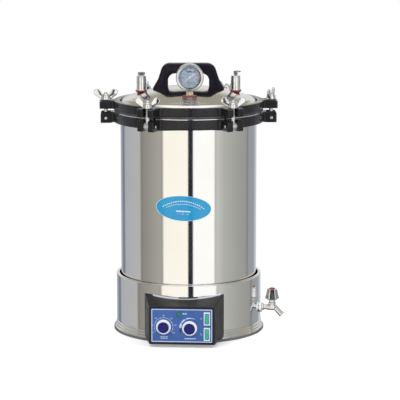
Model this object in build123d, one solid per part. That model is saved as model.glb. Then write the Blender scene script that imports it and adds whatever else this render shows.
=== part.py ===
from build123d import *
import math
import os

# Portable pressure steam steriliser. Sizes are in millimetres and angles in degrees.
# The vessel's axis is Z, the part stands on Z = 0 and its control panel faces -Y.

# Vessel: a deep drawn pot with a turned-out rim
VESSEL_BORE_R = 140.0
VESSEL_WALL = 2.0
VESSEL_UNDERSIDE_Z = 70.0
CHAMBER_DEPTH = 390.0
VESSEL_CORNER_R = 12.0
RIM_WIDTH = 13.5
RIM_THICK = 2.5
RIM_FILLET_R = 1.5
RIM_WALL = 1.5

# Base: a sheet skirt with a rolled top edge, closed by a pan on a rubber foot ring
SKIRT_GAP = 9.0
SKIRT_WALL = 1.0
SKIRT_TOP_Z = 120.0
SKIRT_LIP_WIDTH = 5.5
SKIRT_LIP_DROP = 4.0
SKIRT_ROLL_R = 3.0
SKIRT_NUT_FIT = 0.1
HEM_WIDTH = 3.5
HEM_HEIGHT = 5.0
HEM_CLEAR = 0.5
PAN_THICK = 1.5
PAN_RIM_WIDTH = 5.0
PAN_RISE = 6.0
PAN_INSET = 3.0
PAN_VENT_COUNT = 12
PAN_VENT_WIDTH = 8.0
PAN_VENT_LENGTH = 40.0
PAN_VENT_R = 80.0
FOOT_HEIGHT = 4.0
FOOT_WIDTH = 6.0
FOOT_SIDE = 0.8
FOOT_LIP = 1.2

# Brackets that carry the vessel on the pan
LEG_COUNT = 4
LEG_FIRST_AZ = 45.0
LEG_WIDTH = 30.0
LEG_THICK = 2.0
LEG_TOP_Z = 100.0
LEG_FOOT_LENGTH = 26.0

# Rim clamp rings with their lugs
RING_WIDTH = 14.0
RING_FIT = 0.5
LOWER_RING_HEIGHT = 20.0
UPPER_RING_HEIGHT = 17.0
RING_ROUND = 2.0
CLAMP_COUNT = 6
LID_TURN = 1.7
BOLT_CIRCLE_R = 172.0
LUG_WIDTH = 38.0
LUG_SLOT = 12.0
LOWER_LUG_REACH = 11.0
UPPER_LUG_REACH = 13.0
LOWER_LUG_DROP = 2.0
LUG_ROUND = 4.0
LUG_ROOT = 7.0

# Swing bolts, their pins and wing nuts
PIN_R = 3.0
PIN_FIT = 0.05
PIN_BELOW_RING_TOP = 12.0
PIN_PROUD = 1.0
EYE_R = 8.0
EYE_SIDE_GAP = 0.5
EYE_BACK_GAP = 2.0
BOLT_R = 4.0
BOLT_ABOVE_SEAT = 18.0
NUT_SEAT_GAP = 0.2
NUT_HUB_R = 10.0
NUT_HUB_TOP_R = 8.0
NUT_HUB_HEIGHT = 14.0
NUT_SPAN = 50.0
NUT_WING_HEIGHT = 22.5
NUT_WING_THICK = 5.0
NUT_WING_R = 7.0
NUT_BORE_FIT = 0.05
# Direction of each nut's wings about Z, starting at the right-hand clamp
NUT_WING_AZIMUTHS = (72.0, 28.0, 98.0, 2.0, -3.0, 4.0)

# Lid: a domed cover, its seal and the gaskets of its fittings
SEAL_THICK = 2.5
LID_FLANGE_THICK = 2.5
LID_WALL = 2.0
LID_KNUCKLE_R = 14.0
DOME_SPHERE_R = 368.0
DOME_RISE = 46.0
FITTING_R = 98.0
FITTING_HOLE_R = 6.5
GASKET_R = 12.5
GASKET_EDGE = 0.8
LOCK_NUT_FLATS = 19.0
LOCK_NUT_HEIGHT = 5.0

# Carrying handle moulded as an arch with two flared feet
HANDLE_HEIGHT = 93.0
HANDLE_DEPTH = 27.0
HANDLE_HALF_TOP = 53.0
HANDLE_HALF_WAIST = 61.5
HANDLE_WAIST_HEIGHT = 58.0
HANDLE_WAIST_R = 18.0
HANDLE_HALF_FOOT = 73.0
HANDLE_FOOT_HEIGHT = 42.0
HANDLE_FOOT_R = 3.0
HANDLE_FOOT_SUNK = 12.0
GRIP_HALF_WIDTH = 42.5
GRIP_THICK = 21.0
HANDLE_CORNER_R = 19.0
GRIP_CORNER_R = 15.0
HANDLE_EDGE_R = 6.0
HANDLE_SCREW_X = 56.0
HANDLE_SCREW_R = 3.0
HANDLE_SCREW_LENGTH = 20.0
SCREW_HEAD_RATIO = 1.8
SCREW_FIT = 0.05

# Pressure gauge
GAUGE_R = 29.5
GAUGE_CENTRE_HEIGHT = 74.5
GAUGE_DEPTH = 26.0
GAUGE_WALL = 1.2
BEZEL_WIDTH = 3.4
BEZEL_DEPTH = 6.0
BEZEL_PROUD = 0.8
GLASS_THICK = 2.0
DIAL_THICK = 0.8
DIAL_BEHIND_GLASS = 5.0
DIAL_HOLE_R = 2.2
NEEDLE_THICK = 0.6
NEEDLE_LENGTH = 19.0
NEEDLE_TAIL = 8.0
NEEDLE_WIDTH = 2.2
NEEDLE_HUB_R = 2.4
NEEDLE_REST = -135.0
STEM_HEX = 14.0
STEM_BORE_R = 2.5
STEM_NECK_R = 5.0
STEM_NECK_IN = 2.0
MOVEMENT_R = 17.0
MOVEMENT_TUBE_R = 2.0
MOVEMENT_POST_R = 1.6

# Safety valve and vent valve, both turned barrels on the lid
VALVE_R = 9.8
VALVE_HEIGHT = 30.0
VALVE_BORE_R = 7.0
VALVE_TOP_WALL = 2.5
VALVE_SEAT_Z = 5.0
VALVE_VENT_R = 1.5
VALVE_VENT_COUNT = 6
VALVE_VENT_RISE = 6.0
VALVE_DISC_R = 6.2
VALVE_DISC_THICK = 2.5
VALVE_STEM_R = 2.4
VALVE_STEM_FIT = 0.06
VALVE_KNOB_R = 7.0
VALVE_KNOB_WAIST_R = 5.5
VALVE_KNOB_HEIGHT = 7.0
VALVE_KNOB_GAP = 0.4
SPRING_R = 5.6
SPRING_WALL = 1.4
LEVER_EYE_R = 4.2
LEVER_EYE_GAP = 0.3
LEVER_EYE_THICK = 2.6
LEVER_SIDE_GAP = 0.4
LEVER_PIN_R = 1.0
LEVER_PLATE_R = 7.5
LEVER_PLATE_RISE = 3.0
LEVER_PLATE_THICK = 2.0

# Inside of the chamber: heater, shelf, basket, steam pipe and probe
HEATER_TUBE_R = 4.0
HEATER_RING_R = 96.0
HEATER_Z = 95.0
HEATER_GAP_ANGLE = 40.0
HEATER_AZ = 90.0
HEATER_TAIL = 22.0
HEATER_NUT_FLATS = 17.0
PROBE_NUT_FLATS = 13.0
HEATER_NUT_HEIGHT = 5.0
SHELF_R = 136.0
SHELF_THICK = 2.0
SHELF_Z = 112.0
SHELF_LEG_R = 4.0
SHELF_LEG_CIRCLE_R = 122.0
SHELF_LEG_COUNT = 3
SHELF_LEG_AZ = 60.0
SHELF_HOLE_R = 5.0
SHELF_HOLE_RINGS = 4
SHELF_HOLE_STEP = 25.0
BASKET_R = 122.0
BASKET_WALL = 1.2
BASKET_HEIGHT = 300.0
BASKET_SLOT_WIDTH = 6.0
BASKET_SLOT_LENGTH = 34.0
BASKET_SLOT_ROWS = 5
BASKET_SLOT_COUNT = 16
BASKET_GRIP_R = 3.0
BASKET_GRIP_HALF = 32.0
BASKET_GRIP_RISE = 34.0
BASKET_GRIP_LAP = 24.0
BASKET_GRIP_BEND = 12.0
STEAM_PIPE_R = 4.0
STEAM_PIPE_BORE_R = 2.8
STEAM_PIPE_FOOT_Z = 130.0
STEAM_PIPE_WALL_GAP = 3.5
STEAM_PIPE_BEND_R = 14.0
STEAM_PIPE_DROP = 22.0
STEAM_PIPE_SLANT = 28.0
PROBE_R = 3.0
PROBE_AZ = -125.0
PROBE_CIRCLE_R = 85.0
PROBE_LENGTH = 28.0
PROBE_TAIL = 8.0
CAPILLARY_R = 1.0
CAPILLARY_BEND = 7.0
CAPILLARY_RUN = 22.0

# Drain and tap
TAP_AZ = -12.0
TAP_Z = 49.5
DRAIN_R = 6.0
DRAIN_BORE_R = 4.2
DRAIN_CIRCLE_R = 112.0
DRAIN_BEND_R = 13.0
DRAIN_FIT = 0.3
TAP_TAIL = 13.0
TAP_KNOB_CLEAR = 12.0
TAP_BODY_R = 9.0
TAP_BODY_HEIGHT = 21.0
TAP_BODY_BELOW = 5.5
TAP_NECK_R = 6.0
TAP_BORE_R = 3.6
SPOUT_R = 5.6
SPOUT_LENGTH = 30.0
SPOUT_SLOPE = 45.0
SPOUT_RISE = 6.0
TAP_NUT_FLATS = 19.0
TAP_NUT_HEIGHT = 4.0
TAP_WASHER_R = 11.5
TAP_WASHER_THICK = 1.5
SPINDLE_R = 3.0
SPINDLE_FIT = 0.05
SPINDLE_DEPTH = 12.0
TAP_KNOB_GAP = 0.5
TAP_KNOB_HEIGHT = 24.0
TAP_KNOB_FOOT_R = 15.0
TAP_KNOB_WAIST_R = 14.4
TAP_KNOB_TOP_R = 10.6
TAP_CAP_R = 6.0
TAP_CAP_HEIGHT = 2.2

# Control box on the front of the skirt
BOX_AZ = -93.8
BOX_FACE_DISTANCE = 195.0
BOX_FRONT_WIDTH = 134.0
BOX_BACK_WIDTH = 166.0
BOX_BOTTOM_Z = 6.5
BOX_FRONT_HEIGHT = 79.5
BOX_BACK_HEIGHT = 91.5
BOX_BACK_DISTANCE = 122.0
BOX_WALL = 2.5
BOX_EDGE_R = 2.5
BOX_SKIRT_FIT = 0.1
BOX_WINDOW_INSET = 22.0
BOSS_INSET = 5.0
BOSS_R = 4.5
PANEL_WIDTH = 124.0
PANEL_HEIGHT = 69.0
PANEL_THICK = 1.5
PANEL_UP = 0.6
KNOB_SKIRT_R = 15.2
KNOB_SKIRT_THICK = 4.0
KNOB_CAP_R = 11.4
KNOB_HEIGHT = 15.0
KNOB_GAP = 0.4
KNOB_SHAFT_R = 3.0
KNOB_SHAFT_FIT = 0.06
KNOB_SHAFT_LENGTH = 9.0
TIMER_AT = (-37.0, -2.6)
TEMPERATURE_AT = (16.0, -4.8)
LAMP_AT = (-6.0, 23.0)
LAMP_R = 4.6
LAMP_PROUD = 2.6
SWITCHES_AT = ((51.0, 15.0), (51.0, -17.0))
SWITCH_WIDTH = 13.0
SWITCH_HEIGHT = 27.0
SWITCH_FLANGE = 1.8
SWITCH_DEPTH = 18.0
ROCKER_WIDTH = 8.4
ROCKER_HEIGHT = 21.0
ROCKER_GAP = 0.5
ROCKER_TILT = 9.0
ROCKER_PIVOT_DEPTH = 3.0
ROCKER_PIN_R = 1.0
ROCKER_PIN_ENDS = 1.2
ROCKER_VALLEY = 1.2
ROCKER_BELLY = 4.0
UNIT_FIT = 0.05
TIMER_UNIT = (34.0, 34.0, 24.0)
THERMOSTAT_UNIT = (30.0, 36.0, 26.0)
PANEL_SCREW_R = 1.6
PANEL_SCREW_LENGTH = 16.0
BASE_SCREW_R = 2.0
BASE_SCREW_LENGTH = 12.0
SCREW_HEAD_THICK = 2.0
SCREW_HOLE_FIT = 0.2

# Cable gland and internal wiring
GLAND_AZ = 90.0
GLAND_Z = 30.0
GLAND_PROUD = 12.0
GLAND_BORE_R = 3.6
GLAND_NECK_R = 6.3
GLAND_DOME_R = 7.6
GLAND_FLATS = 17.0
GLAND_HEX_LENGTH = 5.4
GLAND_NUT_LENGTH = 5.0
WIRE_R = 1.6
WIRE_BEND = 6.0
WIRE_RUN = 30.0

# Longer than the part, for cuts that go right through it
THROUGH = 900.0

# Places that follow from the sizes
vessel_r = VESSEL_BORE_R + VESSEL_WALL
chamber_floor_z = VESSEL_UNDERSIDE_Z + VESSEL_WALL
rim_top_z = chamber_floor_z + CHAMBER_DEPTH
rim_under_z = rim_top_z - RIM_THICK
rim_r = vessel_r + RIM_WIDTH
skirt_bore_r = vessel_r + SKIRT_GAP
skirt_r = skirt_bore_r + SKIRT_WALL
pan_rim_r = skirt_r + PAN_RIM_WIDTH
skirt_foot_z = FOOT_HEIGHT + PAN_THICK
pan_top_z = FOOT_HEIGHT + PAN_THICK + PAN_RISE
seal_top_z = rim_top_z + SEAL_THICK
lid_z = seal_top_z + LID_FLANGE_THICK
ring_bore_r = vessel_r + RING_FIT
ring_r = ring_bore_r + RING_WIDTH
ring_foot_z = rim_under_z - LOWER_RING_HEIGHT
ring_top_z = lid_z + UPPER_RING_HEIGHT
handle_top_z = lid_z + HANDLE_HEIGHT
handle_waist_z = lid_z + HANDLE_WAIST_HEIGHT
handle_foot_z = lid_z + HANDLE_FOOT_HEIGHT
gauge_centre_z = lid_z + GAUGE_CENTRE_HEIGHT
pivot_z = rim_under_z - PIN_BELOW_RING_TOP
nut_seat_z = ring_top_z + NUT_SEAT_GAP
dome_r = vessel_r - RING_FIT
apex_z = lid_z + DOME_RISE
case_r = GAUGE_R - GAUGE_WALL
dial_face = GAUGE_DEPTH / 2 - GLASS_THICK - DIAL_BEHIND_GLASS
tap_tail_r = skirt_bore_r - TAP_TAIL
tap_axis_r = skirt_r + TAP_KNOB_CLEAR + TAP_KNOB_FOOT_R
panel_middle_z = BOX_BOTTOM_Z + BOX_FRONT_HEIGHT / 2 + PANEL_UP
rocker_pivot_x = BOX_FACE_DISTANCE + PANEL_THICK + SWITCH_FLANGE - ROCKER_PIVOT_DEPTH
rocker_pin_length = ROCKER_WIDTH + 2 * ROCKER_GAP + ROCKER_PIN_ENDS
clamp_azimuths = [LID_TURN + 360 / CLAMP_COUNT * i for i in range(CLAMP_COUNT)]


def dome_surface_z(radius):
    """Height of the lid's outer surface over a radius."""
    return apex_z - DOME_SPHERE_R + math.sqrt(DOME_SPHERE_R ** 2 - radius ** 2)


lock_nut_corner_r = FITTING_R + LOCK_NUT_FLATS * 0.58
gasket_top_z = dome_surface_z(FITTING_R - GASKET_R) + GASKET_EDGE
lock_nut_top_z = dome_surface_z(lock_nut_corner_r) - LID_WALL * 1.1
spigot_foot_z = lock_nut_top_z - LOCK_NUT_HEIGHT - 2
valve_top_z = gasket_top_z + VALVE_HEIGHT
lever_pin_z = valve_top_z + LEVER_EYE_GAP + LEVER_EYE_R


def place(radius, azimuth, z, shape):
    """Shape moved out along +X by the radius, up by z, and turned to the azimuth."""
    return Rot(0, 0, azimuth) * Pos(radius, 0, z) * shape


def cylinder(radius, z0, z1):
    """Upright cylinder about Z between two heights."""
    return Pos(0, 0, z0) * Cylinder(radius, z1 - z0, align=(Align.CENTER, Align.CENTER, Align.MIN))


def tube(bore, radius, z0, z1):
    """Upright tube about Z between two heights."""
    return cylinder(radius, z0, z1) - cylinder(bore, z0 - 1, z1 + 1)


def rod(start, end, radius):
    """Round bar between two points."""
    line = Vector(*end) - Vector(*start)
    return Plane(origin=start, z_dir=line) * cylinder(radius, 0, line.length)


def block(x0, x1, y0, y1, z0, z1):
    """Box between two corners."""
    return Pos((x0 + x1) / 2, (y0 + y1) / 2, (z0 + z1) / 2) * Box(x1 - x0, y1 - y0, z1 - z0)


def hexagon(flats, z0, z1):
    """Upright hexagonal bar of a width across flats."""
    return Pos(0, 0, z0) * extrude(RegularPolygon(flats / 2, 6, major_radius=False), z1 - z0)


def nut(flats, z0, z1, bore):
    """Hexagonal nut about Z between two heights."""
    return hexagon(flats, z0, z1) - cylinder(bore, z0 - 1, z1 + 1)


def inside_of_skirt(half_width):
    """Distance from the Z axis at which a flat face of that half width meets the skirt's bore."""
    return math.sqrt(skirt_bore_r ** 2 - half_width ** 2) - SKIRT_NUT_FIT


def outline(corners):
    """Flat closed face through (u, v) corners; a corner's third number rounds it by that radius."""
    starts, middles, ends = [], [], []
    for i, corner in enumerate(corners):
        here = Vector(*corner[:2])
        radius = corner[2] if len(corner) > 2 else 0
        back = (Vector(*corners[i - 1][:2]) - here).normalized()
        ahead = (Vector(*corners[(i + 1) % len(corners)][:2]) - here).normalized()
        half = math.radians(back.get_angle(ahead)) / 2
        reach = radius / math.tan(half)
        centre = here + (back + ahead).normalized() * (radius / math.sin(half))
        starts.append(here + back * reach)
        middles.append(centre + (here - centre).normalized() * radius if radius else None)
        ends.append(here + ahead * reach)
    edges = []
    for i, middle in enumerate(middles):
        if middle is not None:
            edges.append(ThreePointArc(starts[i], middle, ends[i]))
        following = starts[(i + 1) % len(corners)]
        if (following - ends[i]).length > 1e-6:
            edges.append(Line(ends[i], following))
    return make_face(Wire(edges))


def turned(corners):
    """Solid turned about Z from an outline of (radius, z) corners."""
    return revolve(Plane.XZ * outline(corners), Axis.Z)


def slab(corners, width):
    """Outline of (x, z) corners given a width, centred, along Y."""
    return extrude(Plane.XZ * outline(corners), width / 2, both=True)


def bent_tube(points, bends, radius, bore=0.0):
    """Round tube, or a bar where the bore is 0, along a path whose corners are rounded."""
    path = FilletPolyline(*points, radius=bends)
    start = Plane(origin=path @ 0, z_dir=path % 0)
    tube_solid = sweep(start * Circle(radius), path=path)
    return tube_solid - sweep(start * Circle(bore), path=path) if bore else tube_solid


def around(count, shape, first=0.0):
    """Copies of a shape at equal turns about Z."""
    return [Rot(0, 0, first + 360 / count * i) * shape for i in range(count)]


def group(shapes):
    """Several separate solids kept together as one sub-part."""
    return Compound(children=[solid for shape in shapes for solid in shape.solids()])


def pan_screw(radius, length, z):
    """Pan head screw about Z, pointing up, with the underside of its head at z."""
    shank = cylinder(radius, z, z + length)
    head = cylinder(radius * SCREW_HEAD_RATIO, z - SCREW_HEAD_THICK, z)
    return shank + head


def dome_solid(extra=0.0):
    """Solid whose top is the lid's spherical cap, raised by an amount, for cutting what stands on it."""
    ball = Pos(0, 0, apex_z - DOME_SPHERE_R) * Sphere(DOME_SPHERE_R + extra)
    return ball & cylinder(dome_r, lid_z, apex_z + extra + 1)


# Base

def base_skirt():
    """Sheet cylinder, its top edge rolled in to the vessel and its foot turned out as a hem."""
    lip_r = skirt_r - SKIRT_LIP_WIDTH - SKIRT_WALL
    under = SKIRT_TOP_Z - SKIRT_WALL
    skirt = turned([
        (skirt_r, skirt_foot_z + HEM_HEIGHT), (skirt_r, SKIRT_TOP_Z, SKIRT_ROLL_R),
        (lip_r, SKIRT_TOP_Z, SKIRT_WALL + 0.4),
        (lip_r, SKIRT_TOP_Z - SKIRT_LIP_DROP), (lip_r + SKIRT_WALL, SKIRT_TOP_Z - SKIRT_LIP_DROP),
        (lip_r + SKIRT_WALL, under, 0.4), (skirt_bore_r, under, SKIRT_ROLL_R - SKIRT_WALL),
        (skirt_bore_r, skirt_foot_z), (skirt_r + HEM_WIDTH, skirt_foot_z, 1.0),
        (skirt_r + HEM_WIDTH, skirt_foot_z + HEM_HEIGHT * 0.6, 2.0)])
    drain_hole = place(0, TAP_AZ, TAP_Z, Rot(0, 90, 0) * cylinder(DRAIN_R + DRAIN_FIT, 0, THROUGH))
    gland_hole = place(0, GLAND_AZ, GLAND_Z, Rot(0, 90, 0) * cylinder(GLAND_NECK_R + DRAIN_FIT, 0, THROUGH))
    return skirt - drain_hole - gland_hole - box_window() - screw_holes_in_skirt()


def box_window():
    """Opening in the skirt behind the control box, for its wires and the probe's tube."""
    half = BOX_FRONT_WIDTH / 2 - BOX_WINDOW_INSET
    foot = BOX_BOTTOM_Z + BOX_WINDOW_INSET
    top = BOX_BOTTOM_Z + BOX_BACK_HEIGHT - BOX_WINDOW_INSET
    return Rot(0, 0, BOX_AZ) * block(BOX_BACK_DISTANCE, BOX_FACE_DISTANCE, -half, half, foot, top)


def base_pan():
    """Pressed bottom pan: a raised floor with vent slots and a rim that the skirt stands on."""
    floor_r = skirt_bore_r - PAN_INSET
    pan = turned([
        (0, pan_top_z - PAN_THICK), (floor_r - PAN_THICK, pan_top_z - PAN_THICK, 1.0),
        (floor_r - PAN_THICK, FOOT_HEIGHT), (pan_rim_r, FOOT_HEIGHT), (pan_rim_r, skirt_foot_z),
        (floor_r, skirt_foot_z), (floor_r, pan_top_z, 2.0), (0, pan_top_z)])
    slot = extrude(SlotOverall(PAN_VENT_LENGTH, PAN_VENT_WIDTH), PAN_THICK * 4, both=True)
    vents = around(PAN_VENT_COUNT, Pos(PAN_VENT_R, 0, pan_top_z) * slot)
    holes = [Rot(0, 0, az) * Pos(leg_screw_r(), 0, 0) * cylinder(BASE_SCREW_R + SCREW_FIT, 0, pan_top_z + 5)
             for az in leg_azimuths()]
    return pan - vents - holes


def leg_azimuths():
    return [LEG_FIRST_AZ + 360 / LEG_COUNT * i for i in range(LEG_COUNT)]


def leg_screw_r():
    return vessel_r - LEG_FOOT_LENGTH / 2


def foot_ring():
    """Rubber ring under the pan's rim; the part rests on it."""
    inner = pan_rim_r - FOOT_WIDTH
    outer = pan_rim_r + FOOT_SIDE
    return turned([
        (inner, 0, 0.6), (outer, 0, 0.8), (outer, FOOT_HEIGHT + FOOT_LIP, 0.4),
        (pan_rim_r, FOOT_HEIGHT + FOOT_LIP), (pan_rim_r, FOOT_HEIGHT), (inner, FOOT_HEIGHT)])


def vessel_legs():
    """Z-shaped steel brackets: an upright against the vessel's wall and a foot on the pan."""
    upright = block(vessel_r, vessel_r + LEG_THICK, -LEG_WIDTH / 2, LEG_WIDTH / 2, pan_top_z, LEG_TOP_Z)
    upright -= cylinder(vessel_r, VESSEL_UNDERSIDE_Z - 1, LEG_TOP_Z + 1)
    foot_end = vessel_r - LEG_FOOT_LENGTH
    foot = block(foot_end, vessel_r + 1, -LEG_WIDTH / 2, LEG_WIDTH / 2, pan_top_z, pan_top_z + LEG_THICK)
    hole = Pos(leg_screw_r(), 0, 0) * cylinder(BASE_SCREW_R + SCREW_FIT, 0, pan_top_z + 9)
    leg = upright + foot - hole
    return group([Rot(0, 0, az) * leg for az in leg_azimuths()])


def pan_screws():
    """Screws up through the pan into the brackets' feet, each with its nut."""
    screw = pan_screw(BASE_SCREW_R, BASE_SCREW_LENGTH, pan_top_z - PAN_THICK)
    nut_foot = pan_top_z + LEG_THICK
    pan_nut = nut(BASE_SCREW_R * 3.5, nut_foot, nut_foot + BASE_SCREW_R * 1.6, BASE_SCREW_R + SCREW_FIT)
    return [place(leg_screw_r(), az, 0, piece) for az in leg_azimuths() for piece in (screw, pan_nut)]


def vessel():
    """Deep drawn pot: flat floor, rounded corner, upright wall and a turned-out rim."""
    pot = turned([
        (0, VESSEL_UNDERSIDE_Z), (vessel_r, VESSEL_UNDERSIDE_Z, VESSEL_CORNER_R),
        (vessel_r, rim_under_z, RIM_FILLET_R), (rim_r, rim_under_z, 0.6), (rim_r, rim_top_z, 0.6),
        (VESSEL_BORE_R, rim_top_z, RIM_FILLET_R + RIM_WALL),
        (VESSEL_BORE_R, chamber_floor_z, VESSEL_CORNER_R - VESSEL_WALL), (0, chamber_floor_z)])
    fittings = [(DRAIN_CIRCLE_R, TAP_AZ, DRAIN_R), (PROBE_CIRCLE_R, PROBE_AZ, PROBE_R)]
    fittings += [(HEATER_RING_R, az, HEATER_TUBE_R) for az in heater_tail_azimuths()]
    for distance, azimuth, radius in fittings:
        pot -= place(distance, azimuth, 0, cylinder(radius + SCREW_FIT, 0, chamber_floor_z + 1))
    return pot


# Clamps

def lower_clamp_ring():
    """Cast ring under the vessel's rim with a fork lug at each clamp."""
    ring = turned([
        (ring_bore_r, ring_foot_z), (ring_r, ring_foot_z, RING_ROUND), (ring_r, rim_under_z, 1.0),
        (ring_bore_r, rim_under_z, RIM_FILLET_R + 1)])
    lug_foot_z = ring_foot_z - LOWER_LUG_DROP
    reach_r = BOLT_CIRCLE_R + LOWER_LUG_REACH
    lug = slab([
        (ring_r - LUG_ROOT, lug_foot_z), (reach_r, lug_foot_z, 2.0), (reach_r, rim_under_z, LUG_ROUND),
        (ring_r - LUG_ROOT, rim_under_z)], LUG_WIDTH)
    slot_end = BOLT_CIRCLE_R - EYE_R - EYE_BACK_GAP
    slot = block(slot_end, reach_r + 2, -LUG_SLOT / 2, LUG_SLOT / 2, 0, rim_under_z + 1)
    pin_hole = Pos(BOLT_CIRCLE_R, 0, pivot_z) * Rot(90, 0, 0) * Cylinder(PIN_R + SCREW_FIT, LUG_WIDTH + 4)
    forks = [Rot(0, 0, az) * (lug - slot - pin_hole) for az in clamp_azimuths]
    return ring + forks


def upper_clamp_ring():
    """Cast ring over the lid's flange with a slotted lug at each clamp, its top crowned about the pivot."""
    ring = turned([
        (ring_bore_r, lid_z), (ring_r, lid_z, 1.0), (ring_r, ring_top_z, RING_ROUND),
        (ring_bore_r, ring_top_z, 1.0)])
    reach_r = BOLT_CIRCLE_R + UPPER_LUG_REACH
    crown_r = ring_top_z - pivot_z
    blank = slab([(ring_r - LUG_ROOT, lid_z), (reach_r, lid_z, 2.0), (reach_r, ring_top_z),
                  (ring_r - LUG_ROOT, ring_top_z)], LUG_WIDTH)
    crown = Pos(BOLT_CIRCLE_R, 0, pivot_z) * Rot(90, 0, 0) * Cylinder(crown_r, LUG_WIDTH + 4)
    inboard = block(0, BOLT_CIRCLE_R, -LUG_WIDTH, LUG_WIDTH, lid_z, ring_top_z + 1)
    lug = blank & (crown + inboard)
    slot_end = Pos(BOLT_CIRCLE_R, 0, 0) * cylinder(LUG_SLOT / 2, lid_z - 1, ring_top_z + 1)
    slot = block(BOLT_CIRCLE_R, reach_r + 2, -LUG_SLOT / 2, LUG_SLOT / 2, lid_z - 1, ring_top_z + 1)
    lugs = [Rot(0, 0, az) * (lug - slot_end - slot) for az in clamp_azimuths]
    return ring + lugs


def clamp_pins():
    """Hinge pins of the swing bolts, held in the forks with their ends a little proud."""
    pin = Rot(90, 0, 0) * Cylinder(PIN_R, LUG_WIDTH + 2 * PIN_PROUD)
    pin = chamfer(pin.edges(), 0.5)
    return group([place(BOLT_CIRCLE_R, az, pivot_z, pin) for az in clamp_azimuths])


def swing_bolt(azimuth):
    """Eye bolt standing on its pin, with a domed tip above the nut."""
    eye_width = LUG_SLOT - 2 * EYE_SIDE_GAP
    top_z = nut_seat_z + BOLT_ABOVE_SEAT
    eye = Pos(0, 0, pivot_z) * Rot(90, 0, 0) * Cylinder(EYE_R, eye_width)
    eye = chamfer(eye.edges(), 0.8)
    shank = cylinder(BOLT_R, pivot_z, top_z)
    shank = fillet(shank.edges().sort_by(Axis.Z)[-1], 1.5)
    bore = Pos(0, 0, pivot_z) * Rot(90, 0, 0) * Cylinder(PIN_R + PIN_FIT, eye_width + 2)
    return place(BOLT_CIRCLE_R, azimuth, 0, eye + shank - bore)


def wing_nut(azimuth, wing_azimuth):
    """Wing nut: a tapered hub with a domed shoulder and two raked rounded wings."""
    seat = nut_seat_z
    hub = turned([
        (0, seat), (NUT_HUB_R, seat, 0.6), (NUT_HUB_TOP_R, seat + NUT_HUB_HEIGHT, 4.0),
        (0, seat + NUT_HUB_HEIGHT)])
    tip_x = NUT_SPAN / 2 - NUT_WING_R
    tip_z = seat + NUT_WING_HEIGHT - NUT_WING_R
    slant = NUT_WING_R * 0.7
    wings = []
    for side in (-1, 1):
        tip = Pos(side * tip_x, 0, tip_z) * Rot(90, 0, 0) * Cylinder(NUT_WING_R, NUT_WING_THICK)
        web = slab([
            (side * (NUT_HUB_TOP_R - 2), seat + 2), (side * (NUT_HUB_R + 1), seat + 2),
            (side * (tip_x + slant), tip_z - slant), (side * (tip_x - slant), tip_z + slant),
            (side * (NUT_HUB_TOP_R - 2), seat + NUT_HUB_HEIGHT - 2)], NUT_WING_THICK)
        wings.append(tip + web)
    whole = hub + wings - cylinder(BOLT_R + NUT_BORE_FIT, 0, THROUGH)
    return place(BOLT_CIRCLE_R, azimuth, 0, Rot(0, 0, wing_azimuth - azimuth) * whole)


# Lid

def lid_seal():
    """Silicone ring between the vessel's rim and the lid's flange."""
    return tube(VESSEL_BORE_R + 1, rim_r - 1, rim_top_z, seal_top_z)


def lid_dome():
    """Spun cover: flat flange, short upright wall, rounded knuckle and a spherical crown."""
    outer = crowned_plug(dome_r, lid_z, DOME_SPHERE_R, LID_KNUCKLE_R)
    inner_r = dome_r - LID_WALL
    inner = crowned_plug(inner_r, seal_top_z - 1, DOME_SPHERE_R - LID_WALL, LID_KNUCKLE_R - LID_WALL)
    flange = tube(dome_r - LID_WALL, rim_r, seal_top_z, lid_z)
    fitting_hole = cylinder(FITTING_HOLE_R, lid_z, apex_z + 1)
    screw_hole = cylinder(HANDLE_SCREW_R + SCREW_FIT, lid_z, apex_z + 1)
    holes = [place(FITTING_R, az, 0, fitting_hole) for az in fitting_azimuths()]
    holes += [Pos(x, 0, 0) * screw_hole for x in handle_screw_places()]
    return outer + flange - inner - holes


def crowned_plug(radius, foot_z, sphere_r, knuckle_r):
    """Turned plug whose wall runs through a tangent knuckle into the lid's spherical crown."""
    sphere_z = apex_z - DOME_SPHERE_R
    knuckle_x = radius - knuckle_r
    knuckle_z = sphere_z + math.sqrt((sphere_r - knuckle_r) ** 2 - knuckle_x ** 2)
    lean = math.atan2(knuckle_x, knuckle_z - sphere_z)
    crown_end = (sphere_r * math.sin(lean), sphere_z + sphere_r * math.cos(lean))
    crown_middle = (sphere_r * math.sin(lean / 2), sphere_z + sphere_r * math.cos(lean / 2))
    bend = (lean + math.pi / 2) / 2
    knuckle_middle = (knuckle_x + knuckle_r * math.sin(bend), knuckle_z + knuckle_r * math.cos(bend))
    half = make_face(Wire([
        Line((0, foot_z), (radius, foot_z)), Line((radius, foot_z), (radius, knuckle_z)),
        ThreePointArc((radius, knuckle_z), knuckle_middle, crown_end),
        ThreePointArc(crown_end, crown_middle, (0, sphere_z + sphere_r)),
        Line((0, sphere_z + sphere_r), (0, foot_z))]))
    return revolve(Plane.XZ * half, Axis.Z)


def fitting_azimuths():
    """Turns of the gauge, the safety valve and the vent valve."""
    return [LID_TURN - 90, LID_TURN + 180, LID_TURN]


def handle_screw_places():
    return (-HANDLE_SCREW_X, HANDLE_SCREW_X)


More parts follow.
